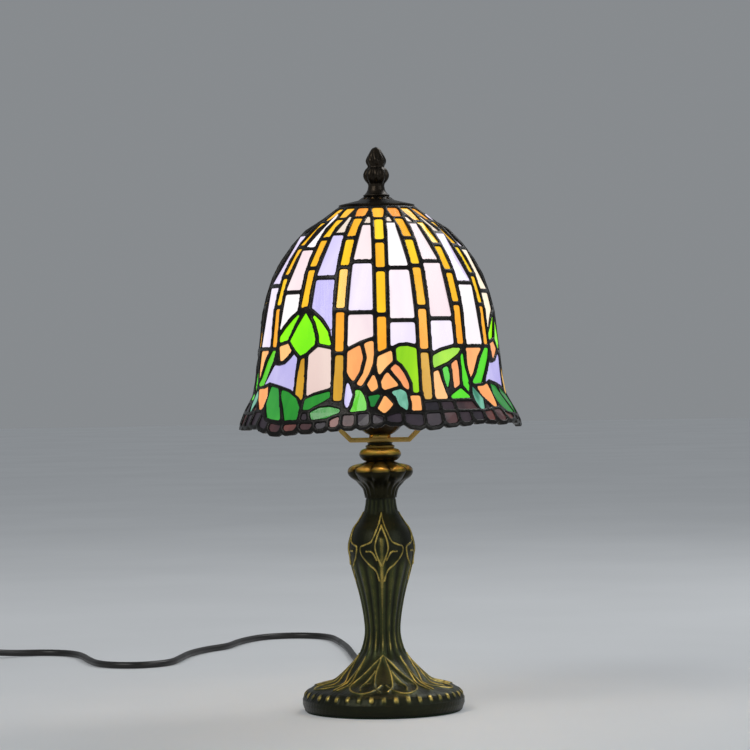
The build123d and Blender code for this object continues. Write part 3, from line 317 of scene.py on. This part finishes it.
CORD_R = 2.75
FLOOR_Z = CORD_R
SWITCH_HEADING = 215.5
SWITCH_ENTRY = Vector((-350.0, 394.3, 7.0))
SWITCH_LENGTH = 60.0
BOOT_L = 12.0
HEADING = Vector((math.cos(math.radians(SWITCH_HEADING)), math.sin(math.radians(SWITCH_HEADING)), 0))
SWITCH_EXIT = SWITCH_ENTRY + HEADING * SWITCH_LENGTH
COIL_TOUCH = SWITCH_EXIT + HEADING * (BOOT_L + 44.0)
COIL_CENTRE = COIL_TOUCH + Vector((HEADING.y, -HEADING.x, 0)) * 32.75
PLUG_FACE_Y = 438.0
PLUG_X = COIL_CENTRE.x - 32.75
LEAD = [
    (0, 62, 7.0), (0, 86, 7.0), (-1, 116, 4.0), (-5, 158, FLOOR_Z), (-13, 206, FLOOR_Z), (-19, 262, FLOOR_Z),
    (-20, 320, FLOOR_Z), (-25, 376, FLOOR_Z), (-29, 430, FLOOR_Z), (-36, 484, FLOOR_Z), (-46, 540, FLOOR_Z),
    (-74, 558, FLOOR_Z), (-107, 548, FLOOR_Z), (-126, 504, FLOOR_Z), (-133, 462, FLOOR_Z),
    (-150, 438, FLOOR_Z), (-163, 402, FLOOR_Z), (-168, 362, FLOOR_Z), (-173, 326, FLOOR_Z),
    (-199, 307, FLOOR_Z), (-230, 319, FLOOR_Z), (-244, 362, FLOOR_Z), (-252, 396, FLOOR_Z),
    (-265, 420, FLOOR_Z), (-288, 430, FLOOR_Z), (-314, 420, FLOOR_Z + 0.6),
]
# The coil's turns: degrees wound so far, radius of the turn, height.
TURNS = [
    (0, 33.4, 2.75), (285, 33.5, 2.75), (360, 27.7, 2.75), (540, 27.5, 2.75),
    (640, 28.2, 8.2), (900, 28.0, 8.2), (1060, 33.6, 8.4), (1205.5, 33.7, 8.4),
]


def coil_points():
    """The coil's centreline, clockwise from where the lead comes in to where it goes to the plug."""
    start = SWITCH_HEADING + 90
    wound = np.arange(8.0, TURNS[-1][0], 20.0)
    radius = np.interp(wound, [t[0] for t in TURNS], [t[1] for t in TURNS])
    height = np.interp(wound, [t[0] for t in TURNS], [t[2] for t in TURNS])
    angle = np.radians(start - wound)
    loose = 0.35 * np.sin(angle * 3 + wound / 200)
    return [
        (COIL_CENTRE.x + (r + e) * math.cos(a), COIL_CENTRE.y + (r + e) * math.sin(a), z)
        for r, e, a, z in zip(radius, loose, angle, height)
    ]


def cord_points():
    middle = SWITCH_ENTRY + HEADING * (SWITCH_LENGTH / 2)
    tail = SWITCH_EXIT + HEADING * (BOOT_L + 22.0)
    x, y = PLUG_X - 0.8, COIL_CENTRE.y
    return LEAD + [
        tuple(SWITCH_ENTRY - HEADING * BOOT_L), tuple(middle), tuple(SWITCH_EXIT + HEADING * BOOT_L),
        (tail.x, tail.y, 3.4),
    ] + coil_points() + [
        (x, y + 12, 8.4), (x, y + 26, 5.6), (x, y + 42, 3.0), (x, y + 56, 4.4), (PLUG_X, 424, 7.6),
        (PLUG_X, 433, 8.0), (PLUG_X, 443, 8.0),
    ]


def make_cord():
    curve = bpy.data.curves.new("mains_lead", "CURVE")
    curve.dimensions = "3D"
    points = cord_points()
    spline = curve.splines.new("NURBS")
    spline.points.add(len(points) - 1)
    for target, p in zip(spline.points, points):
        target.co = (p[0] * MM, p[1] * MM, p[2] * MM, 1.0)
    spline.order_u = 3
    spline.use_endpoint_u = True
    spline.resolution_u = 10
    curve.bevel_depth = CORD_R * MM
    curve.bevel_resolution = 5
    curve.use_fill_caps = True
    curve.materials.append(JACKET)
    return add_object("mains_lead", curve)


# ---- Mesh helpers ---------------------------------------------------------------------------------

def finished(name, mesh, body, material, slot, *nodes):
    """Put a mesh in the scene as a piece that rides on a body and stands for CAD nodes."""
    made = add_object(name, mesh)
    mesh.materials.clear()
    mesh.materials.append(material)
    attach(made, body)
    if nodes:
        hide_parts(*nodes)
    return made


def spline_through(points, steps):
    """A smooth line through points, as Catmull and Rom's curve."""
    p = np.array(points, float)
    p = np.vstack([2 * p[0] - p[1], p, 2 * p[-1] - p[-2]])
    found = []
    for i in range(1, len(p) - 2):
        a, b, c, d = p[i - 1], p[i], p[i + 1], p[i + 2]
        t = np.linspace(0, 1, steps, endpoint=False)[:, None]
        found.append(0.5 * (2 * b + (c - a) * t + (2 * a - 5 * b + 4 * c - d) * t ** 2
                            + (3 * b - a - 3 * c + d) * t ** 3))
    found.append(p[-2][None, :])
    return np.vstack(found)


def even(profile, spacing):
    """A profile with its points spaced evenly along it."""
    p = np.array(profile, float)
    along = np.concatenate([[0], np.cumsum(np.hypot(*np.diff(p, axis=0).T))])
    count = max(int(along[-1] / spacing), 2)
    at = np.linspace(0, along[-1], count + 1)
    return np.column_stack([np.interp(at, along, p[:, 0]), np.interp(at, along, p[:, 1])])


def lathe_mesh(name, profile, around, push=None, values=None):
    """A surface of revolution from (radius, height) in mm, pushed out by push(angle, radius, height).

    values maps attribute names to functions of (angle, radius, height) from 0 to 1."""
    p = np.array(profile, float)
    run = np.gradient(p, axis=0)
    run /= np.maximum(np.hypot(run[:, 0], run[:, 1]), 1e-9)[:, None]
    normal = np.column_stack([run[:, 1], -run[:, 0]])
    angle = np.linspace(0, 2 * np.pi, around, endpoint=False)
    a, r = np.meshgrid(angle, p[:, 0])
    z = np.repeat(p[:, 1:2], around, axis=1)
    out = push(a, r, z) if push else np.zeros_like(r)
    rr = r + out * normal[:, 0:1]
    zz = z + out * normal[:, 1:2]
    points = np.stack([rr * np.sin(a), -rr * np.cos(a), zz], axis=-1).reshape(-1, 3) * MM
    rows = len(p)
    i, j = np.meshgrid(np.arange(rows - 1), np.arange(around), indexing="ij")
    k = (j + 1) % around
    quads = np.stack([i * around + j, i * around + k, (i + 1) * around + k, (i + 1) * around + j], axis=-1)
    quads = quads.reshape(-1, 4)
    mesh = bpy.data.meshes.new(name)
    mesh.from_pydata(points.tolist(), [], quads.tolist())
    for label, source in (values or {}).items():
        store = mesh.attributes.new(label, "FLOAT", "POINT")
        store.data.foreach_set("value", np.clip(source(a, r, z), 0, 1).astype(np.float32).ravel())
    work = bmesh.new()
    work.from_mesh(mesh)
    bmesh.ops.remove_doubles(work, verts=work.verts, dist=1e-6)
    bmesh.ops.recalc_face_normals(work, faces=work.faces)
    work.to_mesh(mesh)
    work.free()
    mesh.shade_smooth()
    return mesh


def softened(name, node, body, material, slot, width=0.4, segments=2):
    """A copy of a CAD node's mesh with rounded edges."""
    mesh = NODES[node].data.copy()
    work = bmesh.new()
    work.from_mesh(mesh)
    bmesh.ops.remove_doubles(work, verts=work.verts, dist=2e-6)
    bmesh.ops.dissolve_limit(work, angle_limit=math.radians(0.6), verts=work.verts, edges=work.edges)
    work.to_mesh(mesh)
    work.free()
    made = add_object(name + "_rough", mesh)
    bevel = made.modifiers.new("bevel", "BEVEL")
    bevel.width = width * MM
    bevel.segments = segments
    bevel.limit_method = "ANGLE"
    bevel.angle_limit = math.radians(38)
    bevel.harden_normals = False
    graph = bpy.context.evaluated_depsgraph_get()
    result = bpy.data.meshes.new_from_object(made.evaluated_get(graph))
    bpy.data.objects.remove(made)
    for polygon in result.polygons:
        polygon.use_smooth = True
    result.set_sharp_from_angle(angle=math.radians(40))
    return finished(name, result, body, material, slot, node)


# ---- Casting: foot and column with their relief ---------------------------------------------------

SKIN = [(57.5, 9.3), (52.3, 16.0), (37.0, 20.5), (30.5, 24.7), (18.0, 37.3), (13.6, 45.9), (11.9, 58.6),
        (15.1, 79.9), (21.9, 105.4), (23.2, 115.2), (20.6, 126.2), (15.9, 133.6),
        (12.7, 139.2), (11.3, 144.2), (10.9, 149.2)]
MOTIFS = 4
# Raised lines of one motif on the column, as (degrees from its middle, height), one side only.
LEAF_LINES = [
    [(0, 139.0), (6, 132), (12, 125.5), (19, 119.5), (31, 117.2), (40, 115.5), (38, 110), (27, 104.5),
     (12, 99), (6, 92)],
    [(0, 131.0), (8, 123), (11.5, 116), (8, 109.5), (2, 103)],
    [(9, 106.5), (17, 112.0), (28, 112.6)],
]
STEM_LINES = [[(0, 121.0), (0, 101.0), (0, 81.0), (0, 61.0), (0, 42.0)]]
# Raised lines of one motif on the foot, as (degrees from its middle, radius), one side only.
PETAL_LINES = [
    [(0, 16.2), (10, 18.2), (20, 21.5), (31, 28.5), (38, 35.0), (31, 44.5), (20.5, 50.2), (12, 48.0),
     (3, 35.5)],
    [(5, 17.6), (11, 26.0), (9.5, 37.0), (3.5, 46.5)],
    [(13, 25.0), (24, 36.0), (21, 45.0)],
]
BLADE_LINES = [[(45, 17.0), (43.5, 26.0), (41.5, 35.0), (43.0, 47.0)]]
LIP_DASHES = 40


def skin_profile():
    """The casting's outer profile, dense enough for its relief."""
    upper = even(spline_through(SKIN, 24), 0.42)
    side = even([(56.0, 1.2), (57.5, 5.3), (57.5, 9.3)], 0.5)
    return np.vstack([side[:-1], upper])


def tree_of(lines, place):
    """A search tree of points along lines, given as angle and a second coordinate, all round the lamp."""
    points = []
    for motif in range(MOTIFS):
        for side in (-1, 1):
            for drawn in lines:
                dense = spline_through(drawn, 40)
                for angle, other in dense:
                    r, z = place(other)
                    a = math.radians(side * angle + 360 / MOTIFS * motif)
                    points.append((r * math.sin(a), -r * math.cos(a), z))
    tree = kdtree.KDTree(len(points))
    for i, p in enumerate(points):
        tree.insert(p, i)
    tree.balance()
    return tree


def ridge(tree, a, r, z, width):
    """1 on a line's crest, falling to 0 over its width."""
    x, y = r * np.sin(a), -r * np.cos(a)
    flat = np.stack([x, y, z], axis=-1).reshape(-1, 3)
    distance = np.array([tree.find(p)[2] for p in flat.tolist()])
    return np.exp(-(distance / width) ** 2).reshape(r.shape)


def rise(value, low, high):
    """0 below low, 1 above high and smooth between them."""
    t = np.clip((value - low) / (high - low), 0, 1)
    return t * t * (3 - 2 * t)


def make_base():
    profile = skin_profile()
    curve = spline_through(SKIN, 40)
    by_height = lambda z: (float(np.interp(z, curve[:, 1], curve[:, 0])), z)
    by_radius = lambda r: (r, float(np.interp(-r, -curve[:200, 0], curve[:200, 1])))
    leaf = tree_of(LEAF_LINES, by_height)
    stem = tree_of(STEM_LINES, by_height)
    petal = tree_of(PETAL_LINES + BLADE_LINES, by_radius)
    cache = {}

    def parts(a, r, z):
        if not cache:
            cache["leaf"] = ridge(leaf, a, r, z, 0.62)
            cache["stem"] = ridge(stem, a, r, z, 1.7)
            cache["petal"] = ridge(petal, a, r, z, 0.62)
            wide = ridge(petal, a, r, z, 3.2)
            flutes = 0.5 + 0.5 * np.cos(16 * a)
            span = rise(z, 34, 46) * (1 - rise(z, 98, 110))
            neck = 0.5 * rise(z, 137, 143) * (1 - rise(z, 147, 149.2))
            cache["flutes"] = flutes * span + (0.5 + 0.5 * np.cos(20 * a)) * neck
            band = np.exp(-((z - 13.2) / 2.1) ** 2) * (r > 40)
            dash = rise(np.cos(LIP_DASHES * a), 0.1, 0.8)
            cache["dash"] = band * dash
            cache["wide"] = wide
            cache["swell"] = np.exp(-((z - 116) / 12) ** 2) * (0.5 + 0.5 * np.cos(MOTIFS * a))
        return cache

    def push(a, r, z):
        c = parts(a, r, z)
        grain = 0.05 * np.sin(a * 61 + z * 1.7) * np.sin(a * 37 - z * 2.3)
        out = 0.85 * c["leaf"] + 0.7 * c["stem"] + 0.9 * c["petal"] + 0.5 * c["wide"] + 0.75 * c["flutes"]
        return out + 0.8 * c["dash"] + 0.5 * c["swell"] + grain - 0.75

    def wear_and_highlight(a, r, z):
        c = parts(a, r, z)
        crest = c["flutes"] ** 4
        low = 0.3 * crest * rise(-z, -60, -36) + 0.22 * crest
        broken = 0.75 + 0.25 * np.sin(a * 23 + z * 0.4)
        lines = (0.9 * c["leaf"] + 0.85 * c["petal"]) * broken
        return lines + 0.34 * c["stem"] * rise(z, 60, 110) + low + 0.7 * c["dash"] * broken + 0.1

    def hollow(a, r, z):
        c = parts(a, r, z)
        raised = c["leaf"] + c["petal"] + c["flutes"] + c["stem"] + c["dash"] + 0.5 * c["wide"]
        return 1 - np.clip(raised, 0, 1)

    inner = np.array([(0.01, 1.25), (52.0, 1.25), (55.4, 1.2)])
    around = 576
    body = lathe_mesh("column_casting", profile, around, push, {"wear_and_highlight": wear_and_highlight, "hollow": hollow})
    finished("column_casting", body, "base", BRONZE, "bronze", "column")
    under = lathe_mesh("column_underside", inner, 96)
    finished("column_underside", under, "base", BRONZE, "bronze")


def make_collar():
    lobes = 10

    def lobe(a):
        return np.abs(np.cos(lobes / 2 * a)) ** 0.7

    line = [(11.2, 149.2), (11.7, 152.4), (13.0, 156.0), (16.9, 160.2), (21.4, 164.0), (23.3, 167.4),
            (22.0, 170.3), (18.0, 172.2), (13.0, 173.4), (9.1, 175.0)]
    profile = even(spline_through(line, 16), 0.4)

    def push(a, r, z):
        body = rise(z, 158, 165) * (1 - rise(z, 171, 174.5))
        stems = rise(z, 149.5, 152) * (1 - rise(z, 158, 163))
        wander = 0.25 * np.sin(7 * a + 0.6 * z) * body
        return 1.5 * (lobe(a) - 0.9) * body + 0.25 * (np.cos(2 * lobes * a) - 1) * stems + wander

    # Partly gold worn through on the lobes and partly a painted highlight: the upper shoulder and the lobes'
    # ridges are made brighter as if lit from above.
    def wear_and_highlight(a, r, z):
        worn_and_lit = 0.72 * rise(z, 166.5, 169.6) * (0.2 + 0.8 * lobe(a))
        return worn_and_lit * (0.8 + 0.2 * np.sin(9 * a + 1))

    mesh = lathe_mesh("crown_collar", profile, 320, push, {"wear_and_highlight": wear_and_highlight})
    finished("crown_collar", mesh, "base", GOLD, "gold", "crown")
    ring = spline_through([(9.2, 174.6), (12.4, 175.9), (14.7, 179.2), (13.3, 182.6), (9.6, 184.0)], 10)
    # Painted highlight: the neck ring's upper half is made brighter gold as if lit from above.
    mesh = lathe_mesh("neck_ring", even(ring, 0.35), 128, None,
                      {"wear_and_highlight": lambda a, r, z: 0.8 * rise(z, 178.6, 181.2)})
    finished("neck_ring", mesh, "base", GOLD, "gold", "neck_knob")
    spacer = [(9.6, 184.0), (10.2, 184.5), (10.2, 185.6), (8.6, 186.4), (8.6, 187.4), (9.4, 188.1),
              (5.4, 188.1)]
    mesh = lathe_mesh("neck_spacer_piece", even(spacer, 0.25), 96, None,
                      {"wear_and_highlight": lambda a, r, z: 0.3 * rise(r, 9, 10.2)})
    finished("neck_spacer_piece", mesh, "base", GOLD, "gold", "neck_spacer")


# ---- Top: cap and finial --------------------------------------------------------------------------

def make_finial():
    foot = [(8.6, 360.3), (9.2, 360.6), (9.2, 361.4), (8.0, 362.2), (6.4, 364.6), (5.7, 367.6)]
    line = [(5.7, 367.6), (6.2, 369.4), (8.2, 372.0), (9.2, 375.2), (8.0, 378.8), (6.0, 381.2), (6.8, 383.6),
            (7.0, 385.8), (6.0, 388.4), (4.6, 391.2), (2.8, 393.9), (0.02, 395.3)]
    profile = even(np.vstack([spline_through(foot, 10), spline_through(line, 16)[1:]]), 0.25)

    def push(a, r, z):
        melon = np.exp(-((z - 375) / 4.6) ** 2)
        bud = np.exp(-((z - 386) / 4.0) ** 2)
        twist = a + (z - 386) * 0.05
        return (np.abs(np.cos(5 * a)) - 0.8) * 1.3 * melon + (np.abs(np.cos(4 * twist)) - 0.8) * 1.0 * bud

    mesh = lathe_mesh("finial_piece", profile, 240, push)
    finished("finial_piece", mesh, "finial", DARK_BRONZE, "dark_bronze", "finial")
    softened("heat_cap_piece", "heat_cap", "shade", DARK_BRONZE, "dark_bronze", 0.25)


# ---- Lampholder and bulb --------------------------------------------------------------------------

BULB_PITCH = 3.629


def make_bulb():
    c, r = BULB_Z, BULB_R
    ball = [(0.02, c + r), (r * 0.3827, c + r * 0.9239), (r * 0.7071, c + r * 0.7071),
            (r * 0.9239, c + r * 0.3827), (r, c), (25.6, c - 10.0), (21.4, c - 18.6), (17.4, c - 26.4),
            (14.4, c - 34.0), (12.45, c - 43.0), (12.2, c - 46.0)]
    mesh = lathe_mesh("bulb_envelope", even(spline_through(ball, 12), 0.8), 128)
    finished("bulb_envelope", mesh, "bulb", FROSTED, "bulb_frost", "bulb_glass")
    side = even([(8.6, 217.5), (12.2, 219.2), (12.55, 221.5), (12.55, 239.2), (12.9, 241.0),
                 (12.3, 241.0)], 0.3)

    def thread(a, r, z):
        inside = rise(z, 220.5, 223.0) * (1 - rise(z, 236.5, 239.0))
        return 0.5 * np.cos(2 * np.pi * z / BULB_PITCH - a) * inside

    mesh = lathe_mesh("bulb_cap_piece", side, 120, thread)
    finished("bulb_cap_piece", mesh, "bulb", NICKEL, "nickel", "bulb_cap")


def make_holder():
    softened("holder_cup_piece", "holder_cup", "base", DARK_BRONZE, "holder_brown", 0.5)
    softened("holder_shell_piece", "holder_shell", "base", DARK_BRONZE, "holder_brown", 0.4)
    softened("holder_ceramic_piece", "holder_ceramic", "base", CERAMIC, "ceramic", 0.3)
    harp = softened("harp_piece", "harp", "base", HARP_GOLD, "gold", 0.6, 3)
    store = harp.data.attributes.new("wear_and_highlight", "FLOAT", "POINT")
    store.data.foreach_set("value", np.full(len(harp.data.vertices), 0.45, np.float32))
    softened("harp_stud_piece", "harp_stud", "base", BRASS, "brass", 0.25)
    softened("holder_washer_piece", "holder_washer", "base", BRASS, "brass", 0.25)


# ---- Shade ----------------------------------------------------------------------------------------

# Each colour's pairs of tones: the pane's own and its streaks'.
TONES = {
    "opal": [((255, 250, 248), (240, 222, 234)), ((250, 240, 252), (222, 210, 240)),
             ((255, 248, 226), (250, 224, 196)), ((252, 236, 236), (234, 212, 220)),
             ((255, 254, 250), (246, 234, 242))],
    "amber": [((252, 216, 36), (242, 180, 30)), ((255, 222, 44), (236, 190, 40)),
              ((250, 200, 40), (236, 160, 34))],
    "orange": [((250, 168, 62), (236, 130, 44)), ((252, 190, 56), (240, 150, 46))],
    "lavender": [((196, 186, 244), (168, 158, 228)), ((204, 196, 240), (176, 168, 226))],
    "lime": [((146, 250, 8), (116, 226, 12)), ((160, 252, 20), (128, 236, 10))],
    "leaf": [((188, 226, 16), (150, 202, 24)), ((170, 232, 30), (132, 200, 26))],
    "green": [((96, 226, 44), (50, 190, 44)), ((120, 222, 40), (70, 190, 40))],
    "deep_green": [((44, 160, 44), (16, 104, 40)), ((60, 170, 60), (22, 120, 50)),
                   ((30, 132, 52), (12, 92, 40))],
    "peach": [((255, 190, 112), (240, 152, 92)), ((250, 176, 112), (232, 140, 92)),
              ((255, 202, 130), (244, 166, 100))],
    "teal": [((28, 112, 84), (150, 222, 196))],
    "plum": [((52, 38, 44), (104, 66, 66)), ((40, 34, 44), (70, 52, 60)), ((66, 40, 42), (150, 92, 84)),
             ((36, 32, 40), (58, 48, 58))],
}
# How brightly each colour is lit through, and how its streaks run: scale and stretch.
LIT = {"opal": 0.9, "amber": 0.92, "orange": 0.95, "lavender": 0.95, "lime": 0.98, "leaf": 0.96,
       "green": 0.94, "deep_green": 0.9, "peach": 1.0, "teal": 0.85, "plum": 0.6}
STREAKS = {"opal": (26.0, (1.0, 1.0, 0.35)), "teal": (90.0, (1.0, 1.0, 0.5)), "plum": (80.0, (1.0, 1.0, 0.8))}
# A direction out of the shade at a point: the point without its height, tipped up a little.
FLAT = Vector((1, 1, 0))
LIFT = Vector((0, 0, 0.02))
PANE_HALF_T = 1.2
PANE_GROW = 0.5
PANE_BEVEL = 0.35


def pane_fronts(node):
    """The outline of each pane's outer face, in order, with its normal."""
    work = bmesh.new()
    work.from_mesh(NODES[node].data)
    bmesh.ops.remove_doubles(work, verts=work.verts, dist=2e-6)
    bmesh.ops.dissolve_limit(work, angle_limit=math.radians(1.0), verts=work.verts, edges=work.edges)
    work.faces.ensure_lookup_table()
    seen, found = set(), []
    for first in work.faces:
        if first.index in seen:
            continue
        island, stack = [], [first]
        seen.add(first.index)
        while stack:
            face = stack.pop()
            island.append(face)
            for edge in face.edges:
                for near in edge.link_faces:
                    if near.index not in seen:
                        seen.add(near.index)
                        stack.append(near)
        outward = [f for f in island if f.normal.dot(f.calc_center_median() * FLAT + LIFT) > 0]
        best = max(outward or island, key=lambda f: f.calc_area())
        found.append(([v.co.copy() for v in best.verts], best.normal.copy()))
    work.free()
    found.sort(key=lambda f: (round(f[0][0].z, 5), round(math.atan2(f[0][0].y, f[0][0].x), 4)))
    return found


def moved_outline(points, normal, distance):
    """An outline moved outward in its own plane, with cut-off mitres."""
    result = []
    count = len(points)
    for i in range(count):
        before = (points[i] - points[i - 1]).normalized()
        after = (points[(i + 1) % count] - points[i]).normalized()
        side = (before.cross(normal) + after.cross(normal))
        if side.length < 1e-6:
            side = before.cross(normal)
        side.normalize()
        along = max(side.dot(before.cross(normal)), 0.55)
        result.append(points[i] + side * (distance / along))
    return result


def tones_of(colour, z, rng):
    """The two tones of a pane from its colour, its height and chance."""
    pairs = TONES[colour]
    a, b = pairs[int(rng.integers(len(pairs)))]
    if colour == "amber" and z < 250:
        a, b = (224, 172, 46), (196, 142, 36)
    elif colour == "amber" and z < 281:
        a, b = (255, 184, 50), (242, 154, 40)
    elif colour == "amber" and z > 343:
        a, b = (250, 196, 52), (238, 158, 50)
    elif colour == "opal" and z > 336:
        a, b = (236, 222, 206), (222, 204, 190)
    elif colour == "opal" and z < 252:
        a, b = (238, 216, 206), (226, 198, 192)
    elif colour == "lavender" and z > 301:
        a, b = (228, 218, 244), (200, 192, 238)
    return linear(*a), linear(*b)


def make_glass(colour, index):
    rng = np.random.default_rng(100 + index)
    points, faces, owner = [], [], []
    panes = pane_fronts("glass_" + colour)
    facts = []
    for number, (outline, normal) in enumerate(panes):
        grow, bevel = PANE_GROW * MM, PANE_BEVEL * MM
        wide = moved_outline(outline, normal, grow)
        slim = moved_outline(outline, normal, grow - bevel)
        depth = 2 * PANE_HALF_T * MM
        rings = [
            slim, [p - normal * bevel for p in wide], [p - normal * (depth - bevel) for p in wide],
            [p - normal * depth for p in slim],
        ]
        start, n = len(points), len(outline)
        for ring in rings:
            points += [tuple(p) for p in ring]
        faces.append(tuple(range(start, start + n)))
        for k in range(3):
            for i in range(n):
                j = (i + 1) % n
                a, b = start + k * n, start + (k + 1) * n
                faces.append((a + i, b + i, b + j, a + j))
        faces.append(tuple(reversed(range(start + 3 * n, start + 4 * n))))
        owner += [number] * (4 * n)
        middle = sum(outline, Vector()) / n
        tone_a, tone_b = tones_of(colour, middle.z / MM, rng)
        lit = LIT[colour] * (0.94 + 0.1 * rng.random())
        spin = rng.random()
        turn = Matrix.Rotation(spin * 3 if colour == "plum" else spin * 0.7 - 0.35, 3, normal)
        facts.append((tone_a, tone_b, lit, turn, Vector(rng.random(3) * 3.0)))
    mesh = bpy.data.meshes.new("glass_" + colour)
    mesh.from_pydata(rim_wave(np.array(points)).tolist(), [], faces)
    stores = {"tint_a": [], "tint_b": [], "glow": [], "grain": []}
    for p, number in zip(points, owner):
        tone_a, tone_b, lit, turn, shift = facts[number]
        here = Vector(p)
        near = 0.062 / max((here - BULB_AT).length, 0.05)
        level = lit * min(1.1, 0.66 + 0.5 * near)
        stores["tint_a"] += [*tone_a, 1.0]
        stores["tint_b"] += [*tone_b, 1.0]
        stores["glow"] += [level, level, level, 1.0]
        around = math.atan2(here.x, -here.y) * 0.08
        stores["grain"] += list(turn @ Vector((around, 0.0, here.z)) + shift)
    for label, numbers in stores.items():
        kind, field = ("FLOAT_VECTOR", "vector") if label == "grain" else ("FLOAT_COLOR", "color")
        mesh.attributes.new(label, kind, "POINT").data.foreach_set(field, numbers)
    scale, stretch = STREAKS.get(colour, (48.0, (1.0, 1.0, 0.3)))
    gloss = 0.3 if colour == "plum" else 0.16
    material = glass_material("streaky_" + colour, scale, stretch, gloss)
    finished("panes_" + colour, mesh, "shade", material, "glass_" + colour, "glass_" + colour)


# Heights between which the rim's waves grow, and the degrees to the left where it hangs lowest.
RIM_STARTS = 214
RIM_ENDS = 198
RIM_SAGS_AT = 42


def rim_wave(points):
    """Points in metres with the shade's edge let down and up in uneven waves."""
    x, y, z = points.T
    angle = np.arctan2(x, -y)
    share = rise(-z / MM, -RIM_STARTS, -RIM_ENDS)
    sag = np.exp(4.0 * (np.cos(angle + math.radians(RIM_SAGS_AT)) - 1))
    waves = 1.2 * np.sin(6 * angle + 2.2) + 0.8 * np.sin(11 * angle + 0.7) + 0.5 * np.sin(17 * angle)
    drop = 2.9 - 3.9 * sag + waves
    spread = 0.9 * np.sin(6 * angle + 0.9) + 0.5 * np.sin(13 * angle)
    radius = np.maximum(np.hypot(x, y), 1e-9)
    reach = 1 + share * (spread - 1.2) * MM / radius
    return np.column_stack([x * reach, y * reach, z + share * drop * MM])


def make_lattice():
    """The soldered seams: the lattice with its edges run together as rounded beads."""
    made = add_object("seams_rough", NODES["shade_lattice"].data.copy())
    weld = made.modifiers.new("weld", "WELD")
    weld.merge_threshold = 2e-6
    voxel = made.modifiers.new("voxel", "REMESH")
    voxel.mode = "VOXEL"
    voxel.voxel_size = 0.72 * MM
    voxel.use_smooth_shade = True
    smooth = made.modifiers.new("smooth", "SMOOTH")
    smooth.factor = 0.5
    smooth.iterations = 4
    swell = made.modifiers.new("swell", "DISPLACE")
    swell.strength = 0.08 * MM
    swell.mid_level = 0.0
    graph = bpy.context.evaluated_depsgraph_get()
    mesh = bpy.data.meshes.new_from_object(made.evaluated_get(graph))
    bpy.data.objects.remove(made)
    place = np.empty(len(mesh.vertices) * 3)
    mesh.vertices.foreach_get("co", place)
    mesh.vertices.foreach_set("co", rim_wave(place.reshape(-1, 3)).ravel())
    mesh.shade_smooth()
    finished("solder_seams", mesh, "shade", SOLDER, "solder", "shade_lattice")


# ---- Lead's fittings ------------------------------------------------------------------------------

BOOT_TIP_R = 3.0
# How far a boot's wide end goes into what it grows from.
SOCKET = 0.3


def boot(name, start, direction, length, wide, ribs, *nodes):
    """A ribbed, tapered rubber boot from its wide end."""
    t = np.linspace(0, 1, 90)
    radius = wide + (BOOT_TIP_R - wide) * t
    wave = 0.32 * (np.cos(2 * np.pi * ribs * t) - 1) * rise(t, 0.06, 0.14) * (1 - rise(t, 0.82, 0.92))
    profile = np.column_stack([radius + wave, t * length])
    profile = np.vstack([[[0.02, 0.0]], profile, [[CORD_R - 0.05, length]]])
    mesh = lathe_mesh(name, profile, 48)
    turn = Vector((0, 0, 1)).rotation_difference(Vector(direction)).to_matrix().to_4x4()
    mesh.transform(Matrix.Translation(Vector(start) * MM) @ turn)
    return finished(name, mesh, "base", RUBBER, "rubber", *nodes)


def make_fittings():
    relief = boot("strain_relief_piece", (0, 59.8, 7.0), (0, 1, 0), 26.2, 4.6, 7, "strain_relief")
    near = boot("switch_boot_near", SWITCH_ENTRY + HEADING * SOCKET, -HEADING, BOOT_L, 4.1, 4, "switch_boots")
    far = boot("switch_boot_far", SWITCH_EXIT - HEADING * SOCKET, HEADING, BOOT_L, 4.1, 4)
    plug_face = (PLUG_X, PLUG_FACE_Y + SOCKET, 8.0)
    plug_boot = boot("plug_boot_piece", plug_face, (0, -1, 0), BOOT_L, 4.5, 4, "plug_boot")
    lower = softened("switch_lower_piece", "switch_lower_shell", "base", PLASTIC, "black_plastic", 0.35)
    upper = softened("switch_upper_piece", "switch_upper_shell", "base", PLASTIC, "black_plastic", 0.35)
    screws = softened("switch_screws_piece", "switch_screws", "base", STEEL, "steel", 0.15)
    softened("switch_rocker_piece", "switch_rocker", "rocker", ROCKER, "rocker_plastic", 0.4)
    plug = softened("plug_body_piece", "plug_body", "base", PLASTIC, "black_plastic", 0.8, 3)
    pins = softened("plug_pins_piece", "plug_pins", "base", BRASS, "brass", 0.3)
    return [relief, near, far, plug_boot, lower, upper, screws, plug, pins]


# ---- Everything -----------------------------------------------------------------------------------

lead = make_cord()
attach(lead, "base")
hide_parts("cord_lead", "cord_tail", "cord_coil", "cord_plug_tail")
fittings = make_fittings()
make_base()
make_collar()
make_holder()
make_bulb()
for index, colour in enumerate(TONES):
    make_glass(colour, index)
make_lattice()
make_finial()

KEPT = {
    "felt_pad": FELT, "threaded_pipe": STEEL, "foot_washer": STEEL, "foot_nut": STEEL, "grommet": RUBBER,
    "lead_inside": JACKET, "holder_nut": STEEL, "holder_screw_shell": BRASS, "holder_contact": BRASS,
    "terminal_screws": BRASS, "bulb_contact": INSULATOR, "bulb_stem": CLEAR, "bulb_filament": FILAMENT,
    "switch_contacts": BRASS, "shade_ring": BRASS, "seat_spacer": BRASS, "finial_insert": BRASS,
}
for node, material in KEPT.items():
    mesh = NODES[node].data
    if not mesh.materials:
        mesh.materials.append(None)
    for place in range(len(mesh.materials)):
        NODES[node].material_slots[place].link = "OBJECT"
        NODES[node].material_slots[place].material = material
